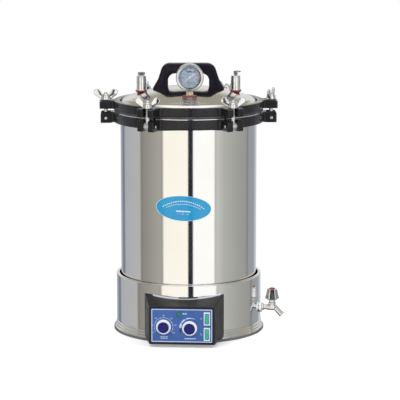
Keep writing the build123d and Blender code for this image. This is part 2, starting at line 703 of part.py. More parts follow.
def handle():
    """Arch with a flat top, two legs and flared feet that stand on the dome."""
    foot = HANDLE_HALF_FOOT
    below = dome_surface_z(foot) - HANDLE_FOOT_SUNK
    grip_under = handle_top_z - GRIP_THICK
    half = [
        (HANDLE_HALF_TOP, handle_top_z, HANDLE_CORNER_R), (HANDLE_HALF_WAIST, handle_waist_z, HANDLE_WAIST_R),
        (foot, handle_foot_z, HANDLE_FOOT_R), (foot, below),
        (GRIP_HALF_WIDTH, below), (GRIP_HALF_WIDTH, grip_under, GRIP_CORNER_R)]
    mirrored = [(-corner[0], *corner[1:]) for corner in reversed(half)]
    arch = slab(half + mirrored, HANDLE_DEPTH)
    front_and_back = arch.faces().filter_by(Axis.Y).edges()
    rounded = [edge for edge in front_and_back if edge.center().Z > below + 1]
    arch = fillet(rounded, HANDLE_EDGE_R)
    hole = cylinder(HANDLE_SCREW_R + SCREW_FIT, below - 1, handle_foot_z + HANDLE_SCREW_LENGTH * 0.6)
    holes = [Pos(x, 0, 0) * hole for x in handle_screw_places()]
    return arch - dome_solid() - holes


def handle_screws():
    """Screws up through the lid into the handle's feet."""
    seat = dome_surface_z(HANDLE_SCREW_X) - LID_WALL * 1.8
    screw = pan_screw(HANDLE_SCREW_R, HANDLE_SCREW_LENGTH * 0.7, seat)
    return [Pos(x, 0, 0) * screw for x in handle_screw_places()]


def fitting_gaskets():
    """Silicone wedge washers: flat on top under each fitting, hollowed below to the dome."""
    gasket = cylinder(GASKET_R, lid_z, gasket_top_z) - cylinder(FITTING_HOLE_R, 0, THROUGH)
    return group([place(FITTING_R, az, 0, gasket) - dome_solid() for az in fitting_azimuths()])


def spigot():
    """Threaded tail of a fitting, from its shoulder through the lid to below its nut."""
    return cylinder(FITTING_HOLE_R - SCREW_FIT, spigot_foot_z, gasket_top_z)


# Pressure gauge, built about Z with its face up and -X as the dial's top, then stood up

def stand_gauge(shape):
    """Gauge piece turned to face outward from the lid's axis and moved onto its stem."""
    return place(FITTING_R, LID_TURN - 90, gauge_centre_z, Rot(0, 90, 0) * shape)


def gauge_stem():
    """Brass hexagon with a neck into the gauge's case and a threaded tail through the lid."""
    neck_top = gauge_centre_z - case_r + STEM_NECK_IN
    hex_top = gauge_centre_z - GAUGE_R - 1.5
    stem = hexagon(STEM_HEX, gasket_top_z, hex_top)
    stem = chamfer(stem.faces().filter_by(Axis.Z).edges(), 0.6)
    stem = stem + cylinder(STEM_NECK_R, hex_top, neck_top) + spigot()
    return place(FITTING_R, LID_TURN - 90, 0, stem - cylinder(STEM_BORE_R, 0, THROUGH))


def gauge_case():
    """Round cup that holds the movement, open at its face."""
    back = -GAUGE_DEPTH / 2
    cup = cylinder(case_r, back, GAUGE_DEPTH / 2)
    cup = fillet(cup.edges().sort_by(Axis.Z)[0], 2.0)
    cup -= cylinder(case_r - GAUGE_WALL, back + GAUGE_WALL, GAUGE_DEPTH)
    cup -= Rot(0, 90, 0) * cylinder(STEM_NECK_R + SCREW_FIT, case_r - 5, case_r + 5)
    return stand_gauge(cup)


def gauge_bezel():
    """Steel ring over the case's edge, with a rolled lip on the glass."""
    front = GAUGE_DEPTH / 2
    return stand_gauge(turned([
        (case_r, front - BEZEL_DEPTH), (GAUGE_R, front - BEZEL_DEPTH), (GAUGE_R, front + BEZEL_PROUD, 0.9),
        (GAUGE_R - BEZEL_WIDTH, front + BEZEL_PROUD, 0.3), (GAUGE_R - BEZEL_WIDTH, front), (case_r, front)]))


def gauge_glass():
    """Clear disc under the bezel's lip."""
    front = GAUGE_DEPTH / 2
    return stand_gauge(cylinder(case_r - GAUGE_WALL - 0.1, front - GLASS_THICK, front))


def gauge_dial():
    """Dial plate with a hole for the needle's shaft."""
    plate = cylinder(case_r - GAUGE_WALL - 0.1, dial_face - DIAL_THICK, dial_face)
    return stand_gauge(plate - cylinder(DIAL_HOLE_R, dial_face - 5, dial_face + 5))


def gauge_needle():
    """Tapered pointer with a thick tail, its hub and the shaft into the movement."""
    level = dial_face + 1.2
    blade = Polyline((NEEDLE_LENGTH, 0), (0, NEEDLE_WIDTH / 2), (-NEEDLE_TAIL, NEEDLE_WIDTH * 0.9),
                     (-NEEDLE_TAIL, -NEEDLE_WIDTH * 0.9), (0, -NEEDLE_WIDTH / 2), close=True)
    pointer = Pos(0, 0, level) * extrude(make_face(blade), NEEDLE_THICK)
    pointer = Rot(0, 0, 180 - NEEDLE_REST) * pointer
    hub = cylinder(NEEDLE_HUB_R, level, level + NEEDLE_THICK + 0.6)
    shaft = cylinder(1.0, dial_face - 8, level)
    return stand_gauge(pointer + hub + shaft)


def gauge_movement():
    """Curved pressure tube on a post from the stem, with the plate that carries the needle's shaft."""
    level = dial_face - 7
    ring = revolve(Plane.XZ * Pos(MOVEMENT_R, level) * Circle(MOVEMENT_TUBE_R), Axis.Z, 250)
    post_end = case_r - STEM_NECK_IN
    post = Pos(0, 0, level) * Rot(0, 90, 0) * cylinder(MOVEMENT_POST_R, 0, post_end)
    plate = cylinder(5, level - 2, level + 2)
    bore = cylinder(1.0 + PIN_FIT, level - 10, level + 10)
    return stand_gauge(ring + post + plate - bore)


# Valves on the lid

def valve_barrel():
    """Turned barrel with a seat, a spring chamber, cross holes and a tail through the lid."""
    seat_z = gasket_top_z + VALVE_SEAT_Z
    barrel = turned([
        (0, gasket_top_z), (VALVE_R, gasket_top_z, 0.5), (VALVE_R, valve_top_z, 1.2), (0, valve_top_z)])
    vent = Pos(0, 0, seat_z + VALVE_VENT_RISE) * Rot(0, 90, 0) * cylinder(VALVE_VENT_R, 0, VALVE_R + 2)
    vents = around(VALVE_VENT_COUNT, vent, 180 / VALVE_VENT_COUNT)
    chamber = cylinder(VALVE_BORE_R, seat_z, valve_top_z - VALVE_TOP_WALL)
    inlet = cylinder(VALVE_STEM_R, spigot_foot_z - 1, seat_z)
    top_hole = cylinder(VALVE_STEM_R + VALVE_STEM_FIT, seat_z, valve_top_z + 1)
    return barrel + spigot() - chamber - inlet - top_hole - vents


def valve_plunger():
    """Disc on the seat and its rod up through the barrel's top."""
    seat_z = gasket_top_z + VALVE_SEAT_Z
    disc = cylinder(VALVE_DISC_R, seat_z, seat_z + VALVE_DISC_THICK)
    return disc + cylinder(VALVE_STEM_R, seat_z, valve_top_z)


def safety_valve_body():
    return place(FITTING_R, LID_TURN + 180, 0, valve_barrel())


def safety_valve_stem():
    """Plunger with a pull knob."""
    foot = valve_top_z + VALVE_KNOB_GAP
    top = foot + VALVE_KNOB_HEIGHT
    knob = turned([
        (0, foot), (VALVE_KNOB_R - 1, foot, 0.6), (VALVE_KNOB_R, foot + 3, 1), (VALVE_KNOB_WAIST_R, foot + 5),
        (VALVE_KNOB_R, top, 1), (0, top)])
    rod_end = cylinder(VALVE_STEM_R, valve_top_z - 1, foot + 1)
    return place(FITTING_R, LID_TURN + 180, 0, valve_plunger() + rod_end + knob)


def safety_valve_spring():
    """Closed sleeve of the coil spring's size, from the disc to the barrel's top wall."""
    foot = gasket_top_z + VALVE_SEAT_Z + VALVE_DISC_THICK
    sleeve = tube(SPRING_R - SPRING_WALL, SPRING_R, foot, valve_top_z - VALVE_TOP_WALL)
    return place(FITTING_R, LID_TURN + 180, 0, sleeve)


def vent_valve_body():
    return place(FITTING_R, LID_TURN, 0, valve_barrel())


def vent_valve_stem():
    """Plunger with a cross pin for its folding tab."""
    pin_half = VALVE_STEM_R + LEVER_SIDE_GAP + LEVER_EYE_THICK
    pin = Pos(0, 0, lever_pin_z) * Rot(90, 0, 0) * Cylinder(LEVER_PIN_R, 2 * pin_half)
    rod_end = cylinder(VALVE_STEM_R, valve_top_z - 1, lever_pin_z + LEVER_PIN_R)
    return place(FITTING_R, LID_TURN, 0, valve_plunger() + rod_end + pin)


def vent_valve_lever():
    """Folding tab: a round plate on two eyes that turn on the plunger's pin."""
    inner = VALVE_STEM_R + LEVER_SIDE_GAP
    eye = Rot(90, 0, 0) * Cylinder(LEVER_EYE_R, LEVER_EYE_THICK)
    eyes = [Pos(0, side * (inner + LEVER_EYE_THICK / 2), 0) * eye for side in (-1, 1)]
    plate = cylinder(LEVER_PLATE_R, LEVER_PLATE_RISE, LEVER_PLATE_RISE + LEVER_PLATE_THICK)
    plate = fillet(plate.edges().sort_by(Axis.Z)[-1], 0.8)
    plate = Pos(LEVER_PLATE_R - LEVER_EYE_R, 0, 0) * plate
    bore = Rot(90, 0, 0) * Cylinder(LEVER_PIN_R + PIN_FIT, 4 * inner)
    return place(FITTING_R, LID_TURN, lever_pin_z, plate + eyes - bore)


# Inside of the chamber

def heater_tail_azimuths():
    return (HEATER_AZ - HEATER_GAP_ANGLE / 2, HEATER_AZ + HEATER_GAP_ANGLE / 2)


def heating_element():
    """Tubular heater: an open ring with two tails down through the vessel's floor."""
    section = Plane.XZ * Pos(HEATER_RING_R, HEATER_Z) * Circle(HEATER_TUBE_R)
    loop = revolve(section, Axis.Z, 360 - HEATER_GAP_ANGLE)
    loop = Rot(0, 0, HEATER_AZ - HEATER_GAP_ANGLE / 2) * loop
    tail = cylinder(HEATER_TUBE_R, VESSEL_UNDERSIDE_Z - HEATER_TAIL, HEATER_Z)
    knee = Pos(0, 0, HEATER_Z) * Sphere(HEATER_TUBE_R)
    return loop + [place(HEATER_RING_R, az, 0, tail + knee) for az in heater_tail_azimuths()]


def lock_nuts():
    """Nuts of the lid's fittings, the heater's tails, the probe and the tap, with the tap's washer."""
    lid_nut = nut(LOCK_NUT_FLATS, lock_nut_top_z - LOCK_NUT_HEIGHT, lock_nut_top_z, FITTING_HOLE_R)
    floor_nut_z = VESSEL_UNDERSIDE_Z - HEATER_NUT_HEIGHT
    heater_nut = nut(HEATER_NUT_FLATS, floor_nut_z, VESSEL_UNDERSIDE_Z, HEATER_TUBE_R + SCREW_FIT)
    probe_nut = nut(PROBE_NUT_FLATS, floor_nut_z, VESSEL_UNDERSIDE_Z, PROBE_R + SCREW_FIT)
    inner_face = inside_of_skirt(TAP_NUT_FLATS * 0.6)
    washer_face = skirt_r + TAP_WASHER_THICK
    pipe_r = DRAIN_R + SCREW_FIT
    on_pipe = [
        nut(TAP_NUT_FLATS, inner_face - TAP_NUT_HEIGHT, inner_face, pipe_r),
        tube(pipe_r, TAP_WASHER_R, skirt_r, washer_face),
        nut(TAP_NUT_FLATS, washer_face, washer_face + TAP_NUT_HEIGHT, pipe_r)]
    nuts = [place(FITTING_R, az, 0, lid_nut) for az in fitting_azimuths()]
    nuts += [place(HEATER_RING_R, az, 0, heater_nut) for az in heater_tail_azimuths()]
    nuts += [place(PROBE_CIRCLE_R, PROBE_AZ, 0, probe_nut)]
    nuts += [place(0, TAP_AZ, TAP_Z, Rot(0, 90, 0) * piece) for piece in on_pipe]
    return group(nuts)


def perforations(rings, step, radius, z):
    """Round holes through a plate: one in the middle and rings of 6, 12, 18 and so on."""
    hole = Pos(0, 0, z) * Cylinder(radius, 12)
    holes = [hole]
    for ring in range(1, rings + 1):
        holes += around(6 * ring, Pos(ring * step, 0, 0) * hole)
    return holes


def support_shelf():
    """Perforated plate on legs over the heater; the basket stands on it."""
    plate = cylinder(SHELF_R, SHELF_Z, SHELF_Z + SHELF_THICK)
    plate -= perforations(SHELF_HOLE_RINGS, SHELF_HOLE_STEP, SHELF_HOLE_R, SHELF_Z)
    leg = Pos(SHELF_LEG_CIRCLE_R, 0, 0) * cylinder(SHELF_LEG_R, chamber_floor_z, SHELF_Z)
    return plate + around(SHELF_LEG_COUNT, leg, SHELF_LEG_AZ)


def basket():
    """Slotted wire-gripped basket for the load."""
    foot = SHELF_Z + SHELF_THICK
    rim = foot + BASKET_HEIGHT
    shell = cylinder(BASKET_R, foot, rim) - cylinder(BASKET_R - BASKET_WALL, foot + BASKET_WALL, rim + 1)
    shell -= perforations(SHELF_HOLE_RINGS, SHELF_HOLE_STEP, SHELF_HOLE_R, foot)
    pitch = BASKET_HEIGHT / (BASKET_SLOT_ROWS + 1)
    pairs = BASKET_SLOT_COUNT // 2
    for row in range(BASKET_SLOT_ROWS):
        slot = Box(2 * BASKET_R + 4, BASKET_SLOT_WIDTH, BASKET_SLOT_LENGTH)
        slot = Pos(0, 0, foot + pitch * (row + 1)) * slot
        shell -= [Rot(0, 0, 180 / pairs * (i + 0.5)) * slot for i in range(pairs)]
    wire_r = BASKET_R - BASKET_WALL / 2
    wire_y = math.sqrt(wire_r ** 2 - BASKET_GRIP_HALF ** 2)
    low = rim - BASKET_GRIP_LAP
    high = rim + BASKET_GRIP_RISE
    half = BASKET_GRIP_HALF
    grip = bent_tube([(-half, wire_y, low), (-half, wire_y, high), (half, wire_y, high), (half, wire_y, low)],
                     BASKET_GRIP_BEND, BASKET_GRIP_R)
    return shell + grip + Rot(0, 0, 180) * grip


def steam_pipe():
    """Pipe from the vent valve down beside the basket, which draws off the air below."""
    side_r = VESSEL_BORE_R - STEAM_PIPE_WALL_GAP - STEAM_PIPE_R
    top = spigot_foot_z
    points = [
        (FITTING_R, 0, top), (FITTING_R, 0, top - STEAM_PIPE_DROP),
        (side_r, 0, top - STEAM_PIPE_DROP - STEAM_PIPE_SLANT), (side_r, 0, STEAM_PIPE_FOOT_Z)]
    return Rot(0, 0, LID_TURN) * bent_tube(points, STEAM_PIPE_BEND_R, STEAM_PIPE_R, STEAM_PIPE_BORE_R)


# Drain and tap, built with +X outward

def drain_pipe():
    """Elbow from the vessel's floor to the tap's tail."""
    points = [(DRAIN_CIRCLE_R, 0, chamber_floor_z), (DRAIN_CIRCLE_R, 0, TAP_Z), (tap_tail_r, 0, TAP_Z)]
    return Rot(0, 0, TAP_AZ) * bent_tube(points, DRAIN_BEND_R, DRAIN_R, DRAIN_BORE_R)


def tap_body():
    """Tap with its tail through the skirt, an upright barrel and a sloping spout."""
    foot = TAP_Z - TAP_BODY_BELOW
    top = foot + TAP_BODY_HEIGHT
    barrel = turned([
        (0, foot), (TAP_BODY_R, foot, 1.5), (TAP_BODY_R - 1.2, top - 8, 3), (TAP_NECK_R, top - 3, 1),
        (TAP_NECK_R, top), (0, top)])
    barrel = Pos(tap_axis_r, 0, 0) * barrel
    tail = Pos(0, 0, TAP_Z) * Rot(0, 90, 0) * cylinder(DRAIN_R, tap_tail_r, tap_axis_r)
    tail_bore = Pos(0, 0, TAP_Z) * Rot(0, 90, 0) * cylinder(TAP_BORE_R, tap_tail_r - 1, tap_axis_r)
    start, end = spout_line()
    spout = rod(start, end, SPOUT_R)
    spout_bore = rod(start, Vector(*end) + (Vector(*end) - Vector(*start)) * 0.1, TAP_BORE_R)
    spindle_bore = cylinder(SPINDLE_R + SPINDLE_FIT, top - SPINDLE_DEPTH - 1, top + 1)
    spindle_bore = Pos(tap_axis_r, 0, 0) * spindle_bore
    return Rot(0, 0, TAP_AZ) * (barrel + tail + spout - tail_bore - spout_bore - spindle_bore)


def spout_line():
    """Start and end of the spout's axis, in the tap's own frame."""
    slope = math.radians(SPOUT_SLOPE)
    start = (tap_axis_r, 0, TAP_Z + SPOUT_RISE)
    end = (start[0] + SPOUT_LENGTH * math.cos(slope), 0, start[2] - SPOUT_LENGTH * math.sin(slope))
    return start, end


def tap_knob():
    """Tapered six-sided knob with the spindle that it turns."""
    foot = TAP_Z - TAP_BODY_BELOW + TAP_BODY_HEIGHT + TAP_KNOB_GAP
    levels = [(0, TAP_KNOB_TOP_R), (3.5, TAP_KNOB_FOOT_R), (6.5, TAP_KNOB_WAIST_R),
              (TAP_KNOB_HEIGHT - 1.5, TAP_KNOB_TOP_R), (TAP_KNOB_HEIGHT, TAP_KNOB_TOP_R - 1.5)]
    sections = [Pos(0, 0, foot + rise) * RegularPolygon(radius, 6) for rise, radius in levels]
    knob = loft(sections, ruled=True) + cylinder(SPINDLE_R, foot - SPINDLE_DEPTH, foot + 1)
    return place(tap_axis_r, TAP_AZ, 0, knob)


def tap_cap():
    """Coloured button on top of the knob."""
    foot = TAP_Z - TAP_BODY_BELOW + TAP_BODY_HEIGHT + TAP_KNOB_GAP + TAP_KNOB_HEIGHT
    return place(tap_axis_r, TAP_AZ, 0, turned([
        (0, foot), (TAP_CAP_R, foot), (TAP_CAP_R, foot + TAP_CAP_HEIGHT, 1.2), (0, foot + TAP_CAP_HEIGHT)]))


# Control box, built with +X outward, +Y to the right of someone facing it, and then turned

def turn_box(shape):
    return Rot(0, 0, BOX_AZ) * shape


def on_panel(at, depth, shape):
    """Shape turned from Z to the panel's outward direction, at (right, up) from the panel's middle."""
    return Pos(BOX_FACE_DISTANCE + depth, at[0], panel_middle_z + at[1]) * Rot(0, 90, 0) * shape


def tapered_box(inset, back, front):
    """Straight-sided solid between the box's back and front rectangles, drawn in by a wall on each side."""
    sections = []
    for distance in (back, front):
        share = (distance - BOX_BACK_DISTANCE) / (BOX_FACE_DISTANCE - BOX_BACK_DISTANCE)
        width = BOX_BACK_WIDTH + (BOX_FRONT_WIDTH - BOX_BACK_WIDTH) * share - 2 * inset
        height = BOX_BACK_HEIGHT + (BOX_FRONT_HEIGHT - BOX_BACK_HEIGHT) * share - 2 * inset
        middle_z = BOX_BOTTOM_Z + inset + height / 2
        plane = Plane(origin=(distance, 0, middle_z), x_dir=(0, 1, 0), z_dir=(1, 0, 0))
        sections.append(plane * Rectangle(width, height))
    return loft(sections, ruled=True)


def switch_opening(clearance, at, x0, x1):
    """Rectangular bar through the panel for a switch's body."""
    half_w = SWITCH_WIDTH / 2 - 1 + clearance
    half_h = SWITCH_HEIGHT / 2 - 1 + clearance
    z = panel_middle_z + at[1]
    return block(x0, x1, at[0] - half_w, at[0] + half_w, z - half_h, z + half_h)


def panel_cutouts(x0, x1):
    """Shaft holes, lamp hole and switch openings through the box's face and its panel plate."""
    bar = cylinder(KNOB_SHAFT_R + 1.0, x0 - BOX_FACE_DISTANCE, x1 - BOX_FACE_DISTANCE)
    lamp = cylinder(LAMP_R - 1 + SCREW_FIT, x0 - BOX_FACE_DISTANCE, x1 - BOX_FACE_DISTANCE)
    cuts = [on_panel(TIMER_AT, 0, bar), on_panel(TEMPERATURE_AT, 0, bar), on_panel(LAMP_AT, 0, lamp)]
    return cuts + [switch_opening(SCREW_FIT, at, x0, x1) for at in SWITCHES_AT]


def box_bosses():
    """Places of the four posts inside the box that its screws enter, as (right, z)."""
    side = BOX_FRONT_WIDTH / 2 - BOSS_INSET
    return [(y, z) for y in (-side, side) for z in (BOX_BOTTOM_Z + 14, BOX_BOTTOM_Z + BOX_FRONT_HEIGHT - 12)]


def boss_seat(y):
    """Distance of the skirt's outside from the Z axis, along X, at a sideways offset."""
    return math.sqrt(skirt_r ** 2 - y ** 2)


def control_box():
    """Moulded cover that fits the skirt's curve, with a sloping top and tapered sides."""
    solid = tapered_box(0, BOX_BACK_DISTANCE, BOX_FACE_DISTANCE)
    outside = [edge for edge in solid.edges() if edge.center().X > BOX_BACK_DISTANCE + 1]
    solid = fillet(outside, BOX_EDGE_R)
    cover = solid - tapered_box(BOX_WALL, BOX_BACK_DISTANCE - 1, BOX_FACE_DISTANCE - BOX_WALL)
    for y, z in box_bosses():
        post = cylinder(BOSS_R, BOX_BACK_DISTANCE + 5, BOX_FACE_DISTANCE - BOX_WALL)
        hole = cylinder(PANEL_SCREW_R + SCREW_FIT, 0, boss_seat(y) + PANEL_SCREW_LENGTH - 2)
        cover += Pos(0, y, z) * Rot(0, 90, 0) * post
        cover -= Pos(0, y, z) * Rot(0, 90, 0) * hole
    cover -= cylinder(skirt_r + BOX_SKIRT_FIT, 0, SKIRT_TOP_Z)
    cover -= cylinder(skirt_r + HEM_WIDTH + BOX_SKIRT_FIT, 0, skirt_foot_z + HEM_HEIGHT + HEM_CLEAR)
    return turn_box(cover - panel_cutouts(BOX_FACE_DISTANCE - 10, BOX_FACE_DISTANCE + 1))


def panel_plate():
    """Printed plate on the box's face."""
    plate = Box(PANEL_THICK, PANEL_WIDTH, PANEL_HEIGHT)
    plate = fillet(plate.edges().filter_by(Axis.X), 2.0)
    plate = Pos(BOX_FACE_DISTANCE + PANEL_THICK / 2, 0, panel_middle_z) * plate
    return turn_box(plate - panel_cutouts(BOX_FACE_DISTANCE - 1, BOX_FACE_DISTANCE + 10))


def box_screws():
    """Screws from inside the skirt into the box's posts."""
    screws = []
    for y, z in box_bosses():
        head_face = inside_of_skirt(abs(y) + PANEL_SCREW_R * SCREW_HEAD_RATIO)
        screw = pan_screw(PANEL_SCREW_R, PANEL_SCREW_LENGTH, 0)
        screws.append(turn_box(Pos(head_face, y, z) * Rot(0, 90, 0) * screw))
    return screws


def screw_holes_in_skirt():
    """Clearance holes for the box's screws."""
    hole = Rot(0, 90, 0) * cylinder(PANEL_SCREW_R + SCREW_HOLE_FIT, 0, BOX_FACE_DISTANCE)
    return [turn_box(Pos(0, y, z) * hole) for y, z in box_bosses()]


def machine_screws():
    """Pan screws with their nuts, the box's screws and the handle's screws."""
    return group(pan_screws() + box_screws() + handle_screws())


def control_unit(at, size):
    """Timer or thermostat body behind the panel, with a bore for its knob's shaft."""
    width, height, depth = size
    front = BOX_FACE_DISTANCE - BOX_WALL - UNIT_FIT
    z = panel_middle_z + at[1]
    body = block(front - depth, front, at[0] - width / 2, at[0] + width / 2, z - height / 2, z + height / 2)
    body = chamfer(body.edges().filter_by(Axis.X), 2.0)
    bore = on_panel(at, 0, cylinder(KNOB_SHAFT_R + KNOB_SHAFT_FIT, -20, 0))
    return turn_box(body - bore)


def panel_knob(at):
    """Round knob: a wide pale skirt with a darker grip on it, and its shaft into the unit behind."""
    foot = PANEL_THICK + KNOB_GAP
    skirt = cylinder(KNOB_SKIRT_R, foot, foot + KNOB_SKIRT_THICK)
    skirt = chamfer(skirt.edges().sort_by(Axis.Z)[-1], 2.0)
    shaft = cylinder(KNOB_SHAFT_R, foot - KNOB_SHAFT_LENGTH, foot)
    grip = cylinder(KNOB_CAP_R, foot + KNOB_SKIRT_THICK, foot + KNOB_HEIGHT)
    grip = fillet(grip.edges().sort_by(Axis.Z)[-1], 1.2)
    return group([turn_box(on_panel(at, 0, piece)) for piece in (skirt + shaft, grip)])


def indicator_lamp():
    """Domed lens with its holder through the panel."""
    front = PANEL_THICK + LAMP_PROUD
    lens = turned([(0, PANEL_THICK), (LAMP_R, PANEL_THICK, 0.3), (LAMP_R, front, 1.8), (0, front)])
    return turn_box(on_panel(LAMP_AT, 0, lens + cylinder(LAMP_R - 1, -12, PANEL_THICK)))


def switch_frames():
    """Housings of the two rocker switches: a flange on the panel and a body behind it."""
    frames = []
    for at in SWITCHES_AT:
        z = panel_middle_z + at[1]
        face = BOX_FACE_DISTANCE + PANEL_THICK
        flange = block(face, face + SWITCH_FLANGE, at[0] - SWITCH_WIDTH / 2, at[0] + SWITCH_WIDTH / 2,
                       z - SWITCH_HEIGHT / 2, z + SWITCH_HEIGHT / 2)
        flange = fillet(flange.edges().filter_by(Axis.X), 1.0)
        body = switch_opening(0, at, face - SWITCH_DEPTH, face)
        half_w = ROCKER_WIDTH / 2 + ROCKER_GAP
        half_h = ROCKER_HEIGHT / 2 + ROCKER_GAP
        well = block(rocker_pivot_x - 8, face + 5, at[0] - half_w, at[0] + half_w, z - half_h, z + half_h)
        pin_hole = Rot(90, 0, 0) * Cylinder(ROCKER_PIN_R + PIN_FIT, rocker_pin_length + 0.2)
        pin_hole = Pos(rocker_pivot_x, at[0], z) * pin_hole
        frames.append(turn_box(flange + body - well - pin_hole))
    return group(frames)


def switch_rocker(at):
    """Rocker with two faces that meet in a shallow V, tilted to its off side, on side pins."""
    rise = ROCKER_HEIGHT / 2 * math.tan(math.radians(ROCKER_TILT))
    half = ROCKER_HEIGHT / 2
    front = ROCKER_VALLEY + rise
    rocker = slab([
        (ROCKER_VALLEY, 0), (front, half - 0.2, 0.4), (0, half), (-ROCKER_BELLY, half * 0.7),
        (-ROCKER_BELLY, -half * 0.7), (0, -half), (front, 0.2 - half, 0.4)], ROCKER_WIDTH)
    rocker += Rot(90, 0, 0) * Cylinder(ROCKER_PIN_R, rocker_pin_length)
    return turn_box(Pos(rocker_pivot_x, at[0], panel_middle_z + at[1]) * Rot(0, -ROCKER_TILT, 0) * rocker)


# Cable gland, probe and wires

def cable_gland():
    """Gland through the back of the skirt: a nut inside, a hexagon and a dome outside."""
    inner_face = inside_of_skirt(GLAND_FLATS * 0.58)
    front = skirt_r + GLAND_PROUD
    gland = cylinder(GLAND_NECK_R, inner_face - GLAND_NUT_LENGTH - 3, skirt_r + 1)
    gland += hexagon(GLAND_FLATS, inner_face - GLAND_NUT_LENGTH, inner_face)
    gland += hexagon(GLAND_FLATS, skirt_r, skirt_r + GLAND_HEX_LENGTH)
    gland += turned([(0, skirt_r + 1), (GLAND_DOME_R, skirt_r + 1), (GLAND_DOME_R, front, 3), (0, front)])
    gland -= cylinder(GLAND_BORE_R, 0, THROUGH)
    return place(0, GLAND_AZ, GLAND_Z, Rot(0, 90, 0) * gland)


def seen_from_box(radius, azimuth, z):
    """Point at a world azimuth, in the control box's own frame."""
    angle = math.radians(azimuth - BOX_AZ)
    return radius * math.cos(angle), radius * math.sin(angle), z


def unit_back(at, size, sideways, up):
    """Point on the back of a control unit."""
    return BOX_FACE_DISTANCE - BOX_WALL - UNIT_FIT - size[2], at[0] + sideways, panel_middle_z + at[1] + up


def sensor_probe():
    """Temperature bulb through the vessel's floor and its fine tube to the thermostat."""
    foot = VESSEL_UNDERSIDE_Z - PROBE_TAIL
    bulb = cylinder(PROBE_R, foot, chamber_floor_z + PROBE_LENGTH)
    bulb = fillet(bulb.edges().sort_by(Axis.Z)[-1], 2.0)
    under = seen_from_box(PROBE_CIRCLE_R, PROBE_AZ, foot)
    end = unit_back(TEMPERATURE_AT, THERMOSTAT_UNIT, -9, -4)
    points = [under, (under[0], under[1], end[2]), (end[0] - CAPILLARY_RUN, end[1], end[2]), end]
    return place(PROBE_CIRCLE_R, PROBE_AZ, 0, bulb) + turn_box(bent_tube(points, CAPILLARY_BEND, CAPILLARY_R))


def wiring():
    """Insulated wires from the gland and the heater's tails to the timer and the thermostat."""
    gland_end = seen_from_box(skirt_bore_r - GLAND_NUT_LENGTH - 4, GLAND_AZ, GLAND_Z)
    to_timer = unit_back(TIMER_AT, TIMER_UNIT, 7, -9)
    supply = [
        gland_end, (gland_end[0] + WIRE_RUN, gland_end[1], GLAND_Z),
        (to_timer[0] - 2 * WIRE_RUN, to_timer[1], GLAND_Z), (to_timer[0] - WIRE_RUN, *to_timer[1:]), to_timer]
    tail_z = VESSEL_UNDERSIDE_Z - HEATER_TAIL
    first_end = unit_back(TEMPERATURE_AT, THERMOSTAT_UNIT, 9, -12)
    second_end = unit_back(TIMER_AT, TIMER_UNIT, -4, -12)
    heater_wires = []
    for tail_azimuth, end in zip(heater_tail_azimuths(), (first_end, second_end)):
        top = seen_from_box(HEATER_RING_R, tail_azimuth, tail_z)
        heater_wires.append([top, (top[0], top[1], end[2]), (end[0] - WIRE_RUN, end[1], end[2]), end])
    return group([turn_box(bent_tube(points, WIRE_BEND, WIRE_R)) for points in (supply, *heater_wires)])


def save(name, shape):
    """Write one sub-part's solids to its own file."""
    export_step(shape, f"parts/{name}.step")


os.makedirs("parts", exist_ok=True)
save("base_skirt", base_skirt())
save("base_pan", base_pan())
save("foot_ring", foot_ring())
save("vessel_legs", vessel_legs())
save("machine_screws", machine_screws())
save("vessel", vessel())
save("lower_clamp_ring", lower_clamp_ring())
save("upper_clamp_ring", upper_clamp_ring())
save("clamp_pins", clamp_pins())
for number, (azimuth, wing_azimuth) in enumerate(zip(clamp_azimuths, NUT_WING_AZIMUTHS), start=1):
    save(f"swing_bolt_{number}", swing_bolt(azimuth))
    save(f"wing_nut_{number}", wing_nut(azimuth, wing_azimuth))
save("lid_seal", lid_seal())
save("lid_dome", lid_dome())
save("handle", handle())
save("fitting_gaskets", fitting_gaskets())
save("gauge_stem", gauge_stem())
save("gauge_case", gauge_case())
save("gauge_bezel", gauge_bezel())
save("gauge_glass", gauge_glass())
save("gauge_dial", gauge_dial())
save("gauge_needle", gauge_needle())
save("gauge_movement", gauge_movement())
save("safety_valve_body", safety_valve_body())
save("safety_valve_stem", safety_valve_stem())
save("safety_valve_spring", safety_valve_spring())
save("vent_valve_body", vent_valve_body())
save("vent_valve_stem", vent_valve_stem())
save("vent_valve_lever", vent_valve_lever())
save("heating_element", heating_element())
save("lock_nuts", lock_nuts())
save("support_shelf", support_shelf())
save("basket", basket())
save("steam_pipe", steam_pipe())
save("drain_pipe", drain_pipe())
save("tap_body", tap_body())
save("tap_knob", tap_knob())
save("tap_cap", tap_cap())
save("control_box", control_box())
save("panel_plate", panel_plate())
save("timer_unit", control_unit(TIMER_AT, TIMER_UNIT))
save("thermostat_unit", control_unit(TEMPERATURE_AT, THERMOSTAT_UNIT))
save("timer_knob", panel_knob(TIMER_AT))
save("temperature_knob", panel_knob(TEMPERATURE_AT))
save("indicator_lamp", indicator_lamp())
save("switch_frames", switch_frames())
save("upper_rocker", switch_rocker(SWITCHES_AT[0]))
save("lower_rocker", switch_rocker(SWITCHES_AT[1]))
save("cable_gland", cable_gland())
save("sensor_probe", sensor_probe())
save("wiring", wiring())
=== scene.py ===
import math

import bmesh
import bpy
import numpy as np
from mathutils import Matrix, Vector
from mathutils.geometry import tessellate_polygon


